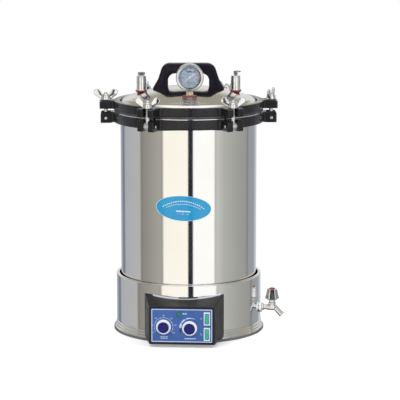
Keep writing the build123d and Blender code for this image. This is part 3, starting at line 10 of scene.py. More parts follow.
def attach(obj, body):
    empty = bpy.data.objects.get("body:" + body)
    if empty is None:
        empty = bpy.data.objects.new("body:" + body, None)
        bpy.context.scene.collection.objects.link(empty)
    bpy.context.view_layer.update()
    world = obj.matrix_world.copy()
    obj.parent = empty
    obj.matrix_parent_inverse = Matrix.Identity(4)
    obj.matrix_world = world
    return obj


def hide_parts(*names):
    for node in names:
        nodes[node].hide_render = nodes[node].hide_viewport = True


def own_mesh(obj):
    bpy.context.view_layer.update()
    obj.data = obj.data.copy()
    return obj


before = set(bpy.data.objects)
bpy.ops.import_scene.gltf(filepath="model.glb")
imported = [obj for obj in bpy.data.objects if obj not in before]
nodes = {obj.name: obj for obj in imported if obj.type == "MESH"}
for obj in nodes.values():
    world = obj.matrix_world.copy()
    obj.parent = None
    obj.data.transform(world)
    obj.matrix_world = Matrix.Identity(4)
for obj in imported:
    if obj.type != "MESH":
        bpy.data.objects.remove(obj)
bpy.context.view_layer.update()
scene = bpy.context.scene
scene.view_settings.view_transform = "Standard"

# Sizes are in millimetres and become metres where a mesh is written
MM = 0.001
SMOOTH_ANGLE = math.radians(32)


# Camera

EYE = Vector((0.02386, -4.2, 0.9962))
LOOK_AT = Vector((0.02386, 0.0, 0.2713))

camera_data = bpy.data.cameras.new("camera")
camera_data.lens = 182.65
camera_data.sensor_width = 36.0
camera_data.clip_end = 60.0
camera = bpy.data.objects.new("camera", camera_data)
camera.location = EYE
camera.rotation_euler = (LOOK_AT - EYE).to_track_quat("-Z", "Y").to_euler()
scene.collection.objects.link(camera)
scene.camera = camera


# Shapes: every shell is (points in mm, faces), worked out as whole arrays


def ring_faces(rows, columns, closed=False):
    """Quads between the neighbouring rows and columns of a grid of points whose rows are closed rings.
    When closed, the last row joins the first too."""
    r, c = np.meshgrid(np.arange(rows - (not closed)), np.arange(columns), indexing="ij")
    r_next = (r + 1) % rows
    c_next = (c + 1) % columns
    corners = (r * columns + c, r * columns + c_next, r_next * columns + c_next, r_next * columns + c)
    return np.stack(corners, -1).reshape(-1, 4).tolist()


def rounded(corners, closed=False, steps=7, guard=0.2):
    """Line through corners (x, y, radius). A corner becomes an arc of its radius that touches both of
    its sides, and each straight side has a point near either end, so that its face stays flat."""
    count = len(corners)
    arcs = []
    for i, corner in enumerate(corners):
        here = np.array(corner[:2], float)
        radius = corner[2] if len(corner) > 2 else 0
        if not radius or (not closed and i in (0, count - 1)):
            arcs.append(here[None])
            continue
        back = np.array(corners[i - 1][:2]) - here
        ahead = np.array(corners[(i + 1) % count][:2]) - here
        back /= np.hypot(*back)
        ahead /= np.hypot(*ahead)
        half = math.acos(max(-1.0, min(1.0, float(back @ ahead)))) / 2
        sweep = math.pi - 2 * half
        reach = radius / math.tan(half)
        towards = (back + ahead) / np.hypot(*(back + ahead))
        middle = here + towards * radius / math.sin(half)
        t = np.linspace(0, 1, steps + 1)[:, None]
        start = here + back * reach - middle
        end = here + ahead * reach - middle
        arcs.append(middle + (np.sin((1 - t) * sweep) * start + np.sin(t * sweep) * end) / math.sin(sweep))
    line = []
    for i, arc in enumerate(arcs):
        line.append(arc)
        if i == count - 1 and not closed:
            break
        run = arcs[(i + 1) % count][0] - arc[-1]
        length = np.hypot(*run)
        if length > 4 * guard:
            line.append(arc[-1] + run * guard / length + np.zeros((1, 2)))
            line.append(arc[-1] + run * (1 - guard / length) + np.zeros((1, 2)))
    return np.concatenate(line)


def turned(profile, segments, closed=False):
    """Surface of revolution: each profile point (radius, height) goes round the Z axis."""
    profile = np.asarray(profile, float)
    turn = np.linspace(0, 2 * math.pi, segments, endpoint=False)
    radius, height = profile[:, 0, None], profile[:, 1, None]
    points = np.stack((radius * np.cos(turn), radius * np.sin(turn), height + 0 * turn), -1)
    return points.reshape(-1, 3), ring_faces(len(profile), segments, closed)


def lathed(corners, segments, closed=False):
    """Surface of revolution whose profile runs through corners (radius, height, corner radius)."""
    return turned(rounded(corners, closed), segments, closed)


def outward(loop):
    """Unit direction at right angles to a closed loop at each of its points, away from its inside when
    the loop runs counterclockwise."""
    ahead = np.roll(loop, -1, 0) - loop
    ahead /= np.hypot(ahead[:, 0], ahead[:, 1])[:, None]
    both = ahead + np.roll(ahead, 1, 0)
    both /= np.hypot(both[:, 0], both[:, 1])[:, None]
    stretch = 1 / np.maximum((both * ahead).sum(1), 0.5)
    return np.stack((both[:, 1], -both[:, 0]), -1) * stretch[:, None]


def plate(loops, low, high, edge=0.0, steps=4, top_edge=None):
    """Slab between two heights over a closed outline and its holes, the outline first and
    counterclockwise and the holes clockwise. Its walls leave and reach the flat faces on quarter circles
    of the edge radii."""
    top_edge = edge if top_edge is None else top_edge
    quarter = np.linspace(0, math.pi / 2, steps + 1)
    inset = np.concatenate((edge * (1 - np.sin(quarter)), top_edge * (1 - np.cos(quarter))))
    height = np.concatenate(
        (low + edge * (1 - np.cos(quarter)), high - top_edge * (1 - np.sin(quarter))))
    points, faces, start = [], [], 0
    caps = ([], [])
    for loop in loops:
        loop = np.asarray(loop, float)
        rows = loop[None] - inset[:, None, None] * outward(loop)[None]
        level = np.broadcast_to(height[:, None, None], rows.shape[:2] + (1,))
        points.append(np.concatenate((rows, level), -1).reshape(-1, 3))
        faces += (np.array(ring_faces(len(height), len(loop))) + start).tolist()
        caps[0].append((rows[0], start))
        caps[1].append((rows[-1], start + (len(height) - 1) * len(loop)))
        start += len(height) * len(loop)
    for side, cap in enumerate(caps):
        flat = [[Vector((x, y, 0)) for x, y in rim] for rim, _ in cap]
        index = np.concatenate([np.arange(len(rim)) + first for rim, first in cap])
        # The tessellation can return a flat triangle along a straight side many times over
        once = {tuple(sorted(triangle)): triangle for triangle in tessellate_polygon(flat)}
        for triangle in once.values():
            face = [int(index[k]) for k in triangle]
            faces.append(face[::-1] if side == 0 else face)
    return np.concatenate(points), faces


def lofted(loops):
    """Closed skin through rings of points, each ring with the same count, with a fan over either end."""
    loops = np.asarray(loops, float)
    rows, columns = loops.shape[:2]
    points = np.concatenate((loops.reshape(-1, 3), loops[0].mean(0)[None], loops[-1].mean(0)[None]))
    faces = ring_faces(rows, columns)
    last = (rows - 1) * columns
    for k in range(columns):
        after = (k + 1) % columns
        faces.append([rows * columns, after, k])
        faces.append([rows * columns + 1, last + k, last + after])
    return points, faces


def swept(path, radius, sides):
    """Round wire along a line of points that doesn't start upright: at each point a circle at right
    angles to the line, turned as little as possible from the circle before."""
    ahead = np.gradient(path, axis=0)
    ahead /= np.linalg.norm(ahead, axis=1)[:, None]
    side = np.cross(ahead[0], (0.0, 0.0, 1.0))
    turn = np.linspace(0, 2 * math.pi, sides, endpoint=False)[:, None]
    rings = []
    for point, direction in zip(path, ahead):
        side = side - direction * (side @ direction)
        side /= np.linalg.norm(side)
        rings.append(point + radius * (np.cos(turn) * side + np.sin(turn) * np.cross(direction, side)))
    return lofted(rings)


def circle(radius, x=0.0, y=0.0, count=48, hole=False):
    """Closed loop of points at one distance from (x, y), clockwise for a hole."""
    turn = np.linspace(0, 2 * math.pi, count, endpoint=False)
    turn = -turn if hole else turn
    return np.stack((x + radius * np.cos(turn), y + radius * np.sin(turn)), -1)


def arc(radius, start, end, x=0.0, y=0.0, count=24):
    """Points on a circle about (x, y) from one angle to another, in degrees from the X axis."""
    turn = np.radians(np.linspace(start, end, count))
    return np.stack((x + radius * np.cos(turn), y + radius * np.sin(turn)), -1)


def moved(shell, x=0.0, y=0.0, z=0.0):
    """The shell shifted by (x, y, z)."""
    return shell[0] + np.array((x, y, z)), shell[1]


def spun(shell, degrees, axis="Z"):
    """The shell turned about an axis through the origin, counterclockwise as seen from its far end."""
    c, s = math.cos(math.radians(degrees)), math.sin(math.radians(degrees))
    i, j = {"X": (1, 2), "Y": (2, 0), "Z": (0, 1)}[axis]
    matrix = np.eye(3)
    matrix[i, i], matrix[i, j], matrix[j, i], matrix[j, j] = c, -s, s, c
    return shell[0] @ matrix.T, shell[1]


def placed(shell, distance, azimuth, z=0.0):
    """The shell set at a distance from the vessel's axis, its own X axis pointing outwards."""
    return moved(spun(moved(shell, distance), azimuth), z=z)


def facing_out(shell):
    """A shell drawn in its own XY plane, stood up so that its X runs right, its Y up and its Z outwards
    along the X axis, as seen by someone who looks at it from outside."""
    x, y, z = shell[0].T
    return np.stack((z, x, y), -1), shell[1]


def dress(node, material):
    """Give a CAD node its finish."""
    node.data.materials.clear()
    node.data.materials.append(material)


def piece(name, shells, material, replaced=None, body="root", at=None):
    """One mesh object from shells, in metres, with its doubles merged and its faces turned outwards. It
    rides on its body in place of the CAD node that it replaces, and at is the function that sets each
    shell in its place."""
    points, faces, start = [], [], 0
    for shell in shells:
        shell_points, shell_faces = at(shell) if at else shell
        points.append(shell_points)
        faces += [[int(k) + start for k in face] for face in shell_faces]
        start += len(shell_points)
    mesh = bpy.data.meshes.new(name)
    mesh.from_pydata((np.concatenate(points) * MM).tolist(), [], faces)
    cleaned = bmesh.new()
    cleaned.from_mesh(mesh)
    bmesh.ops.remove_doubles(cleaned, verts=cleaned.verts, dist=2e-7)
    bmesh.ops.recalc_face_normals(cleaned, faces=cleaned.faces)
    cleaned.to_mesh(mesh)
    cleaned.free()
    mesh.shade_smooth()
    mesh.set_sharp_from_angle(angle=SMOOTH_ANGLE)
    mesh.materials.append(material)
    made = bpy.data.objects.new(name, mesh)
    scene.collection.objects.link(made)
    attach(made, body)
    if replaced:
        dress(nodes[replaced], material)
        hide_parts(replaced)
    return made


# Finishes

WHITE = (1.0, 1.0, 1.0, 1.0)


def feed(node, inputs):
    """Give each named or numbered input of a node a plain value, or a link where it is another node's
    output."""
    for label, value in inputs.items():
        if isinstance(value, bpy.types.NodeSocket):
            node.id_data.links.new(value, node.inputs[label])
        else:
            node.inputs[label].default_value = value


def new_node(tree, kind, inputs=None, **settings):
    """Outputs of a new shader node, its settings and its inputs given by name."""
    node = tree.nodes.new("ShaderNode" + kind)
    for name, value in settings.items():
        setattr(node, name, value)
    feed(node, inputs or {})
    return node.outputs


def maths(tree, operation, *values):
    """Result of a Math node on plain values or other nodes' outputs."""
    return new_node(tree, "Math", dict(enumerate(values)), operation=operation)["Value"]


def blend(tree, factor, first, second):
    """Colour that goes from the first to the second as the factor goes from 0 to 1."""
    values = {"Factor": factor, "A": first, "B": second}
    return new_node(tree, "Mix", values, data_type="RGBA")["Result"]


def step(tree, value, low, high, way="LINEAR"):
    """Value that goes from 0 to 1 as the given one goes from low to high, and stays there past them."""
    values = {"Value": value, "From Min": low, "From Max": high}
    return new_node(tree, "MapRange", values, interpolation_type=way)["Result"]


def new_group(name, inputs, outputs):
    """New shader node group with named sockets, (name, kind, value) in and (name, kind) out, with the
    sockets that it is given and the node that it puts out through."""
    group = bpy.data.node_groups.new(name, "ShaderNodeTree")
    for label, kind, value in inputs:
        socket = group.interface.new_socket(label, in_out="INPUT", socket_type="NodeSocket" + kind)
        socket.default_value = value
    for label, kind in outputs:
        group.interface.new_socket(label, in_out="OUTPUT", socket_type="NodeSocket" + kind)
    return group, group.nodes.new("NodeGroupInput").outputs, group.nodes.new("NodeGroupOutput")


def surface_group():
    """Slow patches and fine grain of one surface, both noise on Object coordinates in metres. Colour and
    roughness move between two values with the patches, the grain adds to the roughness, and the height is
    the grain."""
    group, given, out = new_group(
        "surface_variation",
        [("Colour", "Color", WHITE), ("Patch colour", "Color", WHITE),
         ("Roughness", "Float", 0.3), ("Patch roughness", "Float", 0.4),
         ("Patch scale", "Float", 12.0), ("Grain scale", "Float", 600.0),
         ("Grain stretch", "Vector", (1, 1, 1)), ("Grain roughness", "Float", 0.0)],
        [("Colour", "Color"), ("Roughness", "Float"), ("Height", "Float")])
    where = new_node(group, "TexCoord")["Object"]
    noise = new_node(group, "TexNoise", {"Vector": where, "Scale": given["Patch scale"], "Detail": 3.0})
    patches = step(group, noise["Fac"], 0.38, 0.64)
    stretched = new_node(group, "VectorMath", {0: where, 1: given["Grain stretch"]}, operation="MULTIPLY")
    grain = new_node(group, "TexNoise", {
        "Vector": stretched["Vector"], "Scale": given["Grain scale"], "Detail": 4.0})["Fac"]
    rough = new_node(group, "Mix", {
        "Factor": patches, "A": given["Roughness"], "B": given["Patch roughness"]})["Result"]
    feed(out, {"Colour": blend(group, patches, given["Colour"], given["Patch colour"]),
               "Roughness": maths(group, "MULTIPLY_ADD", grain, given["Grain roughness"], rough),
               "Height": grain})
    return group


def edge_group():
    """Mask of the edges that take another colour, edge wear on some finishes and painted shade on others:
    where the normal of a rounded edge leaves the face's own normal, broken up by noise."""
    group, given, out = new_group(
        "edge_wear_and_shade_mask",
        [("Radius", "Float", 0.001), ("Break scale", "Float", 300.0)], [("Mask", "Float")])
    soft = new_node(group, "Bevel", {"Radius": given["Radius"]}, samples=4)["Normal"]
    own = new_node(group, "NewGeometry")["Normal"]
    likeness = new_node(group, "VectorMath", {0: soft, 1: own}, operation="DOT_PRODUCT")["Value"]
    where = new_node(group, "TexCoord")["Object"]
    noise = new_node(group, "TexNoise", {"Vector": where, "Scale": given["Break scale"]})["Fac"]
    edge = step(group, likeness, 0.995, 0.93)
    feed(out, {"Mask": maths(group, "MULTIPLY", edge, step(group, noise, 0.45, 0.62))})
    return group


surface = surface_group()
edge_wear_and_shade = edge_group()


def srgb(red, green, blue):
    """Scene colour of an 0 to 255 display colour."""
    value = np.array((red, green, blue)) / 255
    linear = np.where(value <= 0.04045, value / 12.92, ((value + 0.055) / 1.055) ** 2.4)
    return (*linear.tolist(), 1.0)


def finish_of(name, colour, patch_colour, roughness, patch_roughness, metallic=0.0, patch_scale=14.0,
              grain_scale=700.0, stretch=(1, 1, 1), grain_roughness=0.0, relief=0.1, depth=0.0002,
              edge_colour=None, edge_radius=0.0012, **shader_values):
    """Material whose colour, roughness and relief come from the surface group, and whose edges may take
    another colour, as edge wear on some finishes and painted edge shade on others; shader_values are plain
    values of the shader's own sockets, such as Coat Weight."""
    material = bpy.data.materials.new(name)
    material.use_nodes = True
    tree = material.node_tree
    varied = new_node(tree, "Group", {
        "Colour": colour, "Patch colour": patch_colour, "Roughness": roughness,
        "Patch roughness": patch_roughness, "Patch scale": patch_scale, "Grain scale": grain_scale,
        "Grain stretch": stretch, "Grain roughness": grain_roughness}, node_tree=surface)
    bump = new_node(tree, "Bump", {"Strength": relief, "Distance": depth, "Height": varied["Height"]})
    tint = varied["Colour"]
    if edge_colour:
        edges = new_node(tree, "Group", {"Radius": edge_radius}, node_tree=edge_wear_and_shade)
        tint = blend(tree, edges["Mask"], tint, edge_colour)
    plain = {label.replace("_", " "): value for label, value in shader_values.items()}
    feed(tree.nodes["Principled BSDF"], {
        "Metallic": metallic, "Base Color": tint, "Roughness": varied["Roughness"],
        "Normal": bump["Normal"], **plain})
    return material


# Studio: plain soft light for the surfaces, and for mirrors a room of pale walls and grey edges, given by
# the direction that the mirror looks in

# Direction round the vessel, in degrees from the front with right positive, and the grey seen there
ROOM = (
    (-180, (196, 202, 212)), (-153, (150, 155, 166)), (-147, (116, 120, 134)), (-140, (124, 128, 138)),
    (-136, (168, 171, 177)), (-90.5, (178, 178, 178)), (-87, (126, 124, 118)), (-83, (138, 136, 129)),
    (-49, (164, 162, 154)), (-44.5, (152, 151, 146)), (-42, (250, 246, 234)), (-1, (254, 250, 238)),
    (-0.2, (38, 37, 50)), (7, (38, 37, 50)), (7.8, (255, 255, 255)), (43.5, (255, 255, 250)),
    (46, (172, 172, 166)), (49, (196, 197, 190)), (62, (176, 177, 172)), (90, (160, 160, 155)),
    (114, (150, 151, 148)), (119, (124, 126, 131)), (123, (148, 151, 156)), (147, (150, 154, 160)),
    (153, (178, 183, 192)), (180, (214, 218, 226)),
)
CEILING = (255, 255, 255)
LOW_BACK, HIGH_BACK = (214, 213, 208), (154, 149, 134)
DEEP_FLOOR, FRONT_BAR = (96, 98, 106), (58, 60, 70)

# Where each part of the room comes in, as parts of a unit direction: upwards, or to the back or front
BACK_WALL_UP, BACK_WALL_BACK, HIGH_BACK_UP = (0.06, 0.16), (-0.1, 0.35), (0.26, 0.5)
BAR_FOOT_UP, BAR_TOP_UP, BAR_FRONT = (0.36, 0.4), (0.54, 0.5), (0.1, 0.3)
DEEP_FLOOR_UP, CEILING_UP = (-0.4, -0.75), (0.8, 0.93)

SOFT_LIGHT, MIRROR_GAIN = 0.62, 1.12
FLOOR_HALF, FLOOR_LIFT, FLOOR_FADE = 9.0, 0.32, (0.2, 0.75)
LAMP_AIM = Vector((0, 0, 0.3))


def room_world():
    """World whose camera rays see plain white, whose diffuse rays see an even soft light, and whose
    glossy rays see the room's greys by direction: a band round the horizon, a wall behind the object
    that darkens upwards, a white ceiling, one dark bar over the front and a darker floor below."""
    world = bpy.data.worlds.new("studio")
    world.use_nodes = True
    scene.world = world
    tree = world.node_tree
    tree.nodes.clear()
    where = new_node(tree, "TexCoord")["Generated"]
    right, back, up = new_node(tree, "SeparateXYZ", {"Vector": where})

    def soft_step(value, limits):
        """Step that starts and ends softly."""
        return step(tree, value, *limits, "SMOOTHSTEP")

    front = maths(tree, "MULTIPLY", back, -1.0)
    turn = maths(tree, "ARCTAN2", right, front)
    share = maths(tree, "MULTIPLY_ADD", turn, 0.5 / math.pi, 0.5)
    band = new_node(tree, "ValToRGB", {"Fac": share})["Color"]
    ramp = band.node.color_ramp
    while len(ramp.elements) < len(ROOM):
        ramp.elements.new(0.5)
    for element, (degrees, grey) in zip(ramp.elements, ROOM):
        element.position = (degrees + 180) / 360
        element.color = srgb(*grey)
    behind = maths(tree, "MULTIPLY", soft_step(up, BACK_WALL_UP), soft_step(back, BACK_WALL_BACK))
    back_wall = blend(tree, soft_step(up, HIGH_BACK_UP), srgb(*LOW_BACK), srgb(*HIGH_BACK))
    walls = blend(tree, behind, band, back_wall)
    bar = maths(tree, "MULTIPLY", soft_step(up, BAR_FOOT_UP), soft_step(up, BAR_TOP_UP))
    bar = maths(tree, "MULTIPLY", bar, soft_step(front, BAR_FRONT))
    walls = blend(tree, bar, walls, srgb(*FRONT_BAR))
    walls = blend(tree, soft_step(up, DEEP_FLOOR_UP), walls, srgb(*DEEP_FLOOR))
    room = blend(tree, soft_step(up, CEILING_UP), walls, srgb(*CEILING))

    mirror, soft, plain = (
        new_node(tree, "Background", {"Color": colour, "Strength": strength})["Background"]
        for colour, strength in ((room, MIRROR_GAIN), (WHITE, SOFT_LIGHT), (WHITE, 1.0)))
    rays = new_node(tree, "LightPath")
    lit = new_node(tree, "MixShader", {"Fac": rays["Is Glossy Ray"], 1: soft, 2: mirror})["Shader"]
    through = maths(tree, "MAXIMUM", rays["Is Camera Ray"], rays["Is Transmission Ray"])
    seen = new_node(tree, "MixShader", {"Fac": through, 1: lit, 2: plain})["Shader"]
    new_node(tree, "OutputWorld", {"Surface": seen})


def floor_material():
    """White floor that keeps shadows near the object and fades out around it, by the distance from its
    middle, that mirrors look through to the room, and that the camera sees a little brighter."""
    material = bpy.data.materials.new("studio_floor")
    material.use_nodes = True
    tree = material.node_tree
    shader = tree.nodes["Principled BSDF"]
    rays = new_node(tree, "LightPath")
    feed(shader, {
        "Base Color": (0.97, 0.97, 0.97, 1.0), "Roughness": 0.9, "Specular IOR Level": 0.0,
        "Emission Color": WHITE,
        "Emission Strength": maths(tree, "MULTIPLY", rays["Is Camera Ray"], FLOOR_LIFT)})
    where = new_node(tree, "TexCoord")["Object"]
    away = new_node(tree, "VectorMath", {0: where}, operation="LENGTH")["Value"]
    unseen = maths(tree, "MAXIMUM", step(tree, away, *FLOOR_FADE, "SMOOTHSTEP"), rays["Is Glossy Ray"])
    clear = new_node(tree, "BsdfTransparent")["BSDF"]
    both = new_node(tree, "MixShader", {"Fac": unseen, 1: shader.outputs["BSDF"], 2: clear})["Shader"]
    feed(tree.nodes["Material Output"], {"Surface": both})
    return material


def lamp(name, place, size, watts):
    """Square soft lamp aimed at the middle of the object, unseen in mirrors."""
    data = bpy.data.lights.new(name, "AREA")
    data.size = size
    data.energy = watts
    made = bpy.data.objects.new(name, data)
    made.location = place
    made.rotation_euler = (LAMP_AIM - Vector(place)).to_track_quat("-Z", "Y").to_euler()
    made.visible_glossy = False
    scene.collection.objects.link(made)


room_world()
lamp("key_lamp", (-1.6, -2.6, 3.0), 2.2, 62.0)
lamp("fill_lamp", (2.4, -1.8, 1.8), 2.4, 26.0)
lamp("back_lamp", (0.4, 2.8, 2.6), 2.4, 34.0)

floor_mesh = bpy.data.meshes.new("studio_floor")
floor_mesh.from_pydata(
    [(x * FLOOR_HALF, y * FLOOR_HALF, 0) for x, y in ((-1, -1), (1, -1), (1, 1), (-1, 1))], [],
    [(0, 1, 2, 3)])
floor_mesh.materials.append(floor_material())
floor = bpy.data.objects.new("studio_floor", floor_mesh)
scene.collection.objects.link(floor)


# Finishes of this object. Colours are what a plain light shows, except that a metal's is its reflectance

METAL = 1.0
MIRROR = (0.89, 0.885, 0.875, 1.0)
MIRROR_PATCH = (0.87, 0.862, 0.85, 1.0)

polished_steel = finish_of(
    "polished_steel", MIRROR, MIRROR_PATCH, 0.035, 0.065, METAL, patch_scale=9, grain_scale=420,
    stretch=(1, 1, 0.015), grain_roughness=0.03, relief=0.035, depth=0.0001)
spun_steel = finish_of(
    "spun_steel", MIRROR, MIRROR_PATCH, 0.06, 0.1, METAL, patch_scale=16, grain_scale=260,
    grain_roughness=0.03, relief=0.03, depth=0.0001)
sheet_steel = finish_of(
    "sheet_steel", (0.60, 0.60, 0.59, 1), (0.52, 0.52, 0.52, 1), 0.24, 0.38, METAL, patch_scale=30,
    grain_scale=900, stretch=(1, 0.1, 1), grain_roughness=0.08, relief=0.08)
zinc_steel = finish_of(
    "zinc_steel", (0.86, 0.88, 0.90, 1), (0.76, 0.78, 0.80, 1), 0.12, 0.24, metallic=0.7, patch_scale=90,
    grain_scale=1500, grain_roughness=0.06, relief=0.06)
rim_chrome = finish_of(
    "rim_chrome", (0.70, 0.72, 0.75, 1), (0.60, 0.62, 0.66, 1), 0.14, 0.24, METAL, patch_scale=60,
    grain_scale=900, grain_roughness=0.03, relief=0.03, depth=0.0001)
chrome = finish_of(
    "chrome", (0.86, 0.87, 0.88, 1), (0.80, 0.81, 0.82, 1), 0.05, 0.11, METAL, patch_scale=70,
    grain_scale=900, grain_roughness=0.03, relief=0.03, depth=0.0001)
brass = finish_of(
    "brass", (1.0, 0.93, 0.68, 1), (0.96, 0.87, 0.6, 1), 0.22, 0.34, metallic=0.6, patch_scale=120,
    grain_scale=1400, grain_roughness=0.05, relief=0.08)
black_casting = finish_of(
    "black_casting", srgb(24, 23, 28), srgb(18, 17, 22), 0.3, 0.42, patch_scale=60, grain_scale=520,
    grain_roughness=0.14, relief=0.35, depth=0.0006, edge_colour=srgb(58, 58, 66), edge_radius=0.0009,
    Specular_IOR_Level=0.25, Coat_Weight=1.0, Coat_Roughness=0.12, Coat_IOR=1.3)
black_bakelite = finish_of(
    "black_bakelite", srgb(24, 19, 34), srgb(18, 14, 27), 0.2, 0.3, patch_scale=40, grain_scale=420,
    grain_roughness=0.08, relief=0.12, depth=0.0003, Specular_IOR_Level=0.16, Coat_Weight=0.1,
    Coat_Roughness=0.12)
black_plastic = finish_of(
    "black_plastic", srgb(30, 29, 34), srgb(24, 23, 28), 0.28, 0.36, patch_scale=50, grain_scale=1300,
    grain_roughness=0.1, relief=0.3, depth=0.0003, edge_colour=srgb(52, 52, 58),
    Specular_IOR_Level=0.35)
grey_rubber = finish_of(
    "grey_rubber", srgb(112, 114, 120), srgb(96, 98, 104), 0.5, 0.66, patch_scale=50, grain_scale=900,
    grain_roughness=0.1, relief=0.3, depth=0.0004)
silicone = finish_of(
    "silicone", srgb(70, 73, 84), srgb(58, 61, 72), 0.3, 0.42, patch_scale=40, grain_scale=700,
    relief=0.12, Subsurface_Weight=0.15, Subsurface_Scale=0.003)
red_silicone = finish_of(
    "red_silicone", srgb(160, 66, 76), srgb(142, 54, 64), 0.34, 0.46, patch_scale=120, grain_scale=900,
    relief=0.15, Subsurface_Weight=0.1, Subsurface_Scale=0.002)
blue_panel = finish_of(
    "blue_panel", srgb(60, 98, 166), srgb(52, 90, 158), 0.32, 0.42, patch_scale=30, grain_scale=2600,
    grain_roughness=0.1, relief=0.12, depth=0.0001)
knurled_steel = finish_of(
    "knurled_steel", (0.36, 0.36, 0.37, 1), (0.28, 0.28, 0.29, 1), 0.22, 0.32, METAL, patch_scale=200,
    grain_scale=1500, grain_roughness=0.05, relief=0.1)
panel_print = finish_of(
    "panel_print", srgb(198, 216, 244), srgb(182, 204, 238), 0.4, 0.5, patch_scale=300, grain_scale=2600,
    relief=0.06)
white_print = finish_of(
    "white_print", srgb(236, 240, 248), srgb(224, 230, 240), 0.4, 0.5, patch_scale=300, grain_scale=2600,
    relief=0.06)
white_plastic = finish_of(
    "white_plastic", srgb(232, 238, 244), srgb(222, 229, 236), 0.3, 0.4, patch_scale=90, grain_scale=1800,
    grain_roughness=0.05, relief=0.12, depth=0.0001)
pale_knob = finish_of(
    "pale_knob", srgb(244, 247, 252), srgb(232, 238, 247), 0.24, 0.34, patch_scale=90, grain_scale=1500,
    relief=0.08, depth=0.0001, Coat_Weight=0.3, Coat_Roughness=0.1)
knob_grip = finish_of(
    "knob_grip", srgb(26, 23, 112), srgb(21, 18, 98), 0.3, 0.4, patch_scale=120, grain_scale=1600,
    grain_roughness=0.06, relief=0.15, depth=0.0001, Specular_IOR_Level=0.3)
# The darker green at the lens's edges is painted shade along the rocker's sides
green_lens = finish_of(
    "green_lens", srgb(52, 182, 160), srgb(38, 160, 140), 0.16, 0.24, patch_scale=60, grain_scale=1200,
    relief=0.03, depth=0.0001, edge_colour=srgb(10, 98, 80), edge_radius=0.0018, Coat_Weight=0.3,
    Coat_Roughness=0.08)
lamp_lens = finish_of(
    "lamp_lens", srgb(10, 124, 80), srgb(7, 104, 68), 0.1, 0.18, patch_scale=160, grain_scale=1200,
    relief=0.05, depth=0.0001, Coat_Weight=0.5, Coat_Roughness=0.05)
red_plastic = finish_of(
    "red_plastic", srgb(176, 30, 44), srgb(150, 22, 36), 0.2, 0.3, patch_scale=160, grain_scale=1400,
    relief=0.06, depth=0.0001, Coat_Weight=0.4, Coat_Roughness=0.08)
unit_plastic = finish_of(
    "unit_plastic", srgb(190, 184, 170), srgb(176, 170, 156), 0.4, 0.5, patch_scale=80, grain_scale=1500,
    relief=0.15)
insulation = finish_of(
    "insulation", srgb(150, 118, 78), srgb(122, 90, 58), 0.5, 0.65, patch_scale=120, grain_scale=1100,
    stretch=(1, 1, 0.3), relief=0.3)
dial_paper = finish_of(
    "dial_face", srgb(178, 192, 208), srgb(162, 178, 198), 0.38, 0.48, patch_scale=90, grain_scale=2200,
    relief=0.06, depth=0.0001)
dial_ink = finish_of(
    "dial_ink", srgb(44, 50, 62), srgb(56, 62, 74), 0.45, 0.55, patch_scale=300, grain_scale=2200,
    relief=0.05)
dial_pink = finish_of(
    "dial_pink", srgb(184, 162, 184), srgb(176, 152, 178), 0.4, 0.5, patch_scale=200, grain_scale=2200,
    relief=0.05)
white_paint = finish_of(
    "white_paint", srgb(246, 247, 250), srgb(236, 238, 242), 0.3, 0.4, patch_scale=200, grain_scale=1800,
    relief=0.05)
clear_glass = finish_of(
    "clear_glass", (1, 1, 1, 1), (0.98, 0.985, 0.99, 1), 0.0, 0.03, patch_scale=60, grain_scale=500,
    relief=0.01, depth=0.00005, Transmission_Weight=1.0, IOR=1.3)
sticker_film = finish_of(
    "sticker_film", srgb(10, 150, 208), srgb(28, 160, 208), 0.22, 0.3, patch_scale=22, grain_scale=1800,
    relief=0.06, depth=0.0001, Coat_Weight=0.4, Coat_Roughness=0.1)

# CAD nodes that stay as they are. A node that a piece replaces takes the piece's finish
for finish, names in (
        (sheet_steel, ("base_pan", "vessel_legs", "heating_element", "support_shelf", "basket",
                       "steam_pipe", "drain_pipe", "sensor_probe")),
        (zinc_steel, ("machine_screws",)), (chrome, ("lock_nuts", "vent_valve_stem")),
        (knurled_steel, ("vent_valve_lever",)), (brass, ("gauge_movement",)),
        (unit_plastic, ("timer_unit", "thermostat_unit")), (black_plastic, ("cable_gland",)),
        (insulation, ("wiring",)), (grey_rubber, ("foot_ring",)),
        (green_lens, ("upper_rocker", "lower_rocker"))):
    for name in names:
        dress(nodes[name], finish)


# Main sizes, in mm and degrees. X points to the tap, the panel faces -Y and heights are above the stand

VESSEL_R, VESSEL_BORE_R = 142.0, 140.0
VESSEL_FOOT, CHAMBER_FLOOR = 70.0, 72.0
RIM_R, RIM_UNDER, RIM_TOP = 155.5, 459.5, 462.0
SKIRT_R, SKIRT_BORE_R, SKIRT_FOOT, SKIRT_TOP = 152.0, 151.0, 5.5, 120.0
SKIRT_LIP_R = 145.5
FLARE, FLARE_HEIGHT, FLARE_POWER, FOOT_GROOVES, GROOVE_DEPTH = 3.5, 17.0, 1.4, 3, 1.5
FLANGE_R, FLANGE_UNDER, FLANGE_TOP = 154.6, 464.5, 467.0
DOME_R, DOME_SPHERE_R, DOME_APEX, KNUCKLE_R, LID_WALL = 141.5, 368.0, 513.0, 14.0, 2.0
SPHERE_Z, SHOULDER_DEPTH, SHOULDER_WIDTH = DOME_APEX - DOME_SPHERE_R, 0.5, 1.6
RING_R, RING_BORE_R, SEAL_BORE_R = 156.5, 142.5, 141.0
LOWER_RING_FOOT, UPPER_RING_TOP, LUG_FOOT = 439.5, 484.0, 437.5
LOWER_LUG_R, UPPER_LUG_R, LUG_HALF, SLOT_HALF = 183.0, 185.0, 19.0, 6.0
FORK_START, LUG_DROP_START, LUG_ROUND = 162.0, 158.0, 4.0
BOLT_CIRCLE_R, PIVOT_Z, EYE_R, EYE_WIDTH, PIN_R = 172.0, 447.5, 8.0, 11.0, 3.0
BOLT_R, BOLT_TOP, THREAD_PITCH, THREAD_TIP, THREAD_TIP_DRAW = 4.0, 500.2, 1.25, 1.5, 1.2
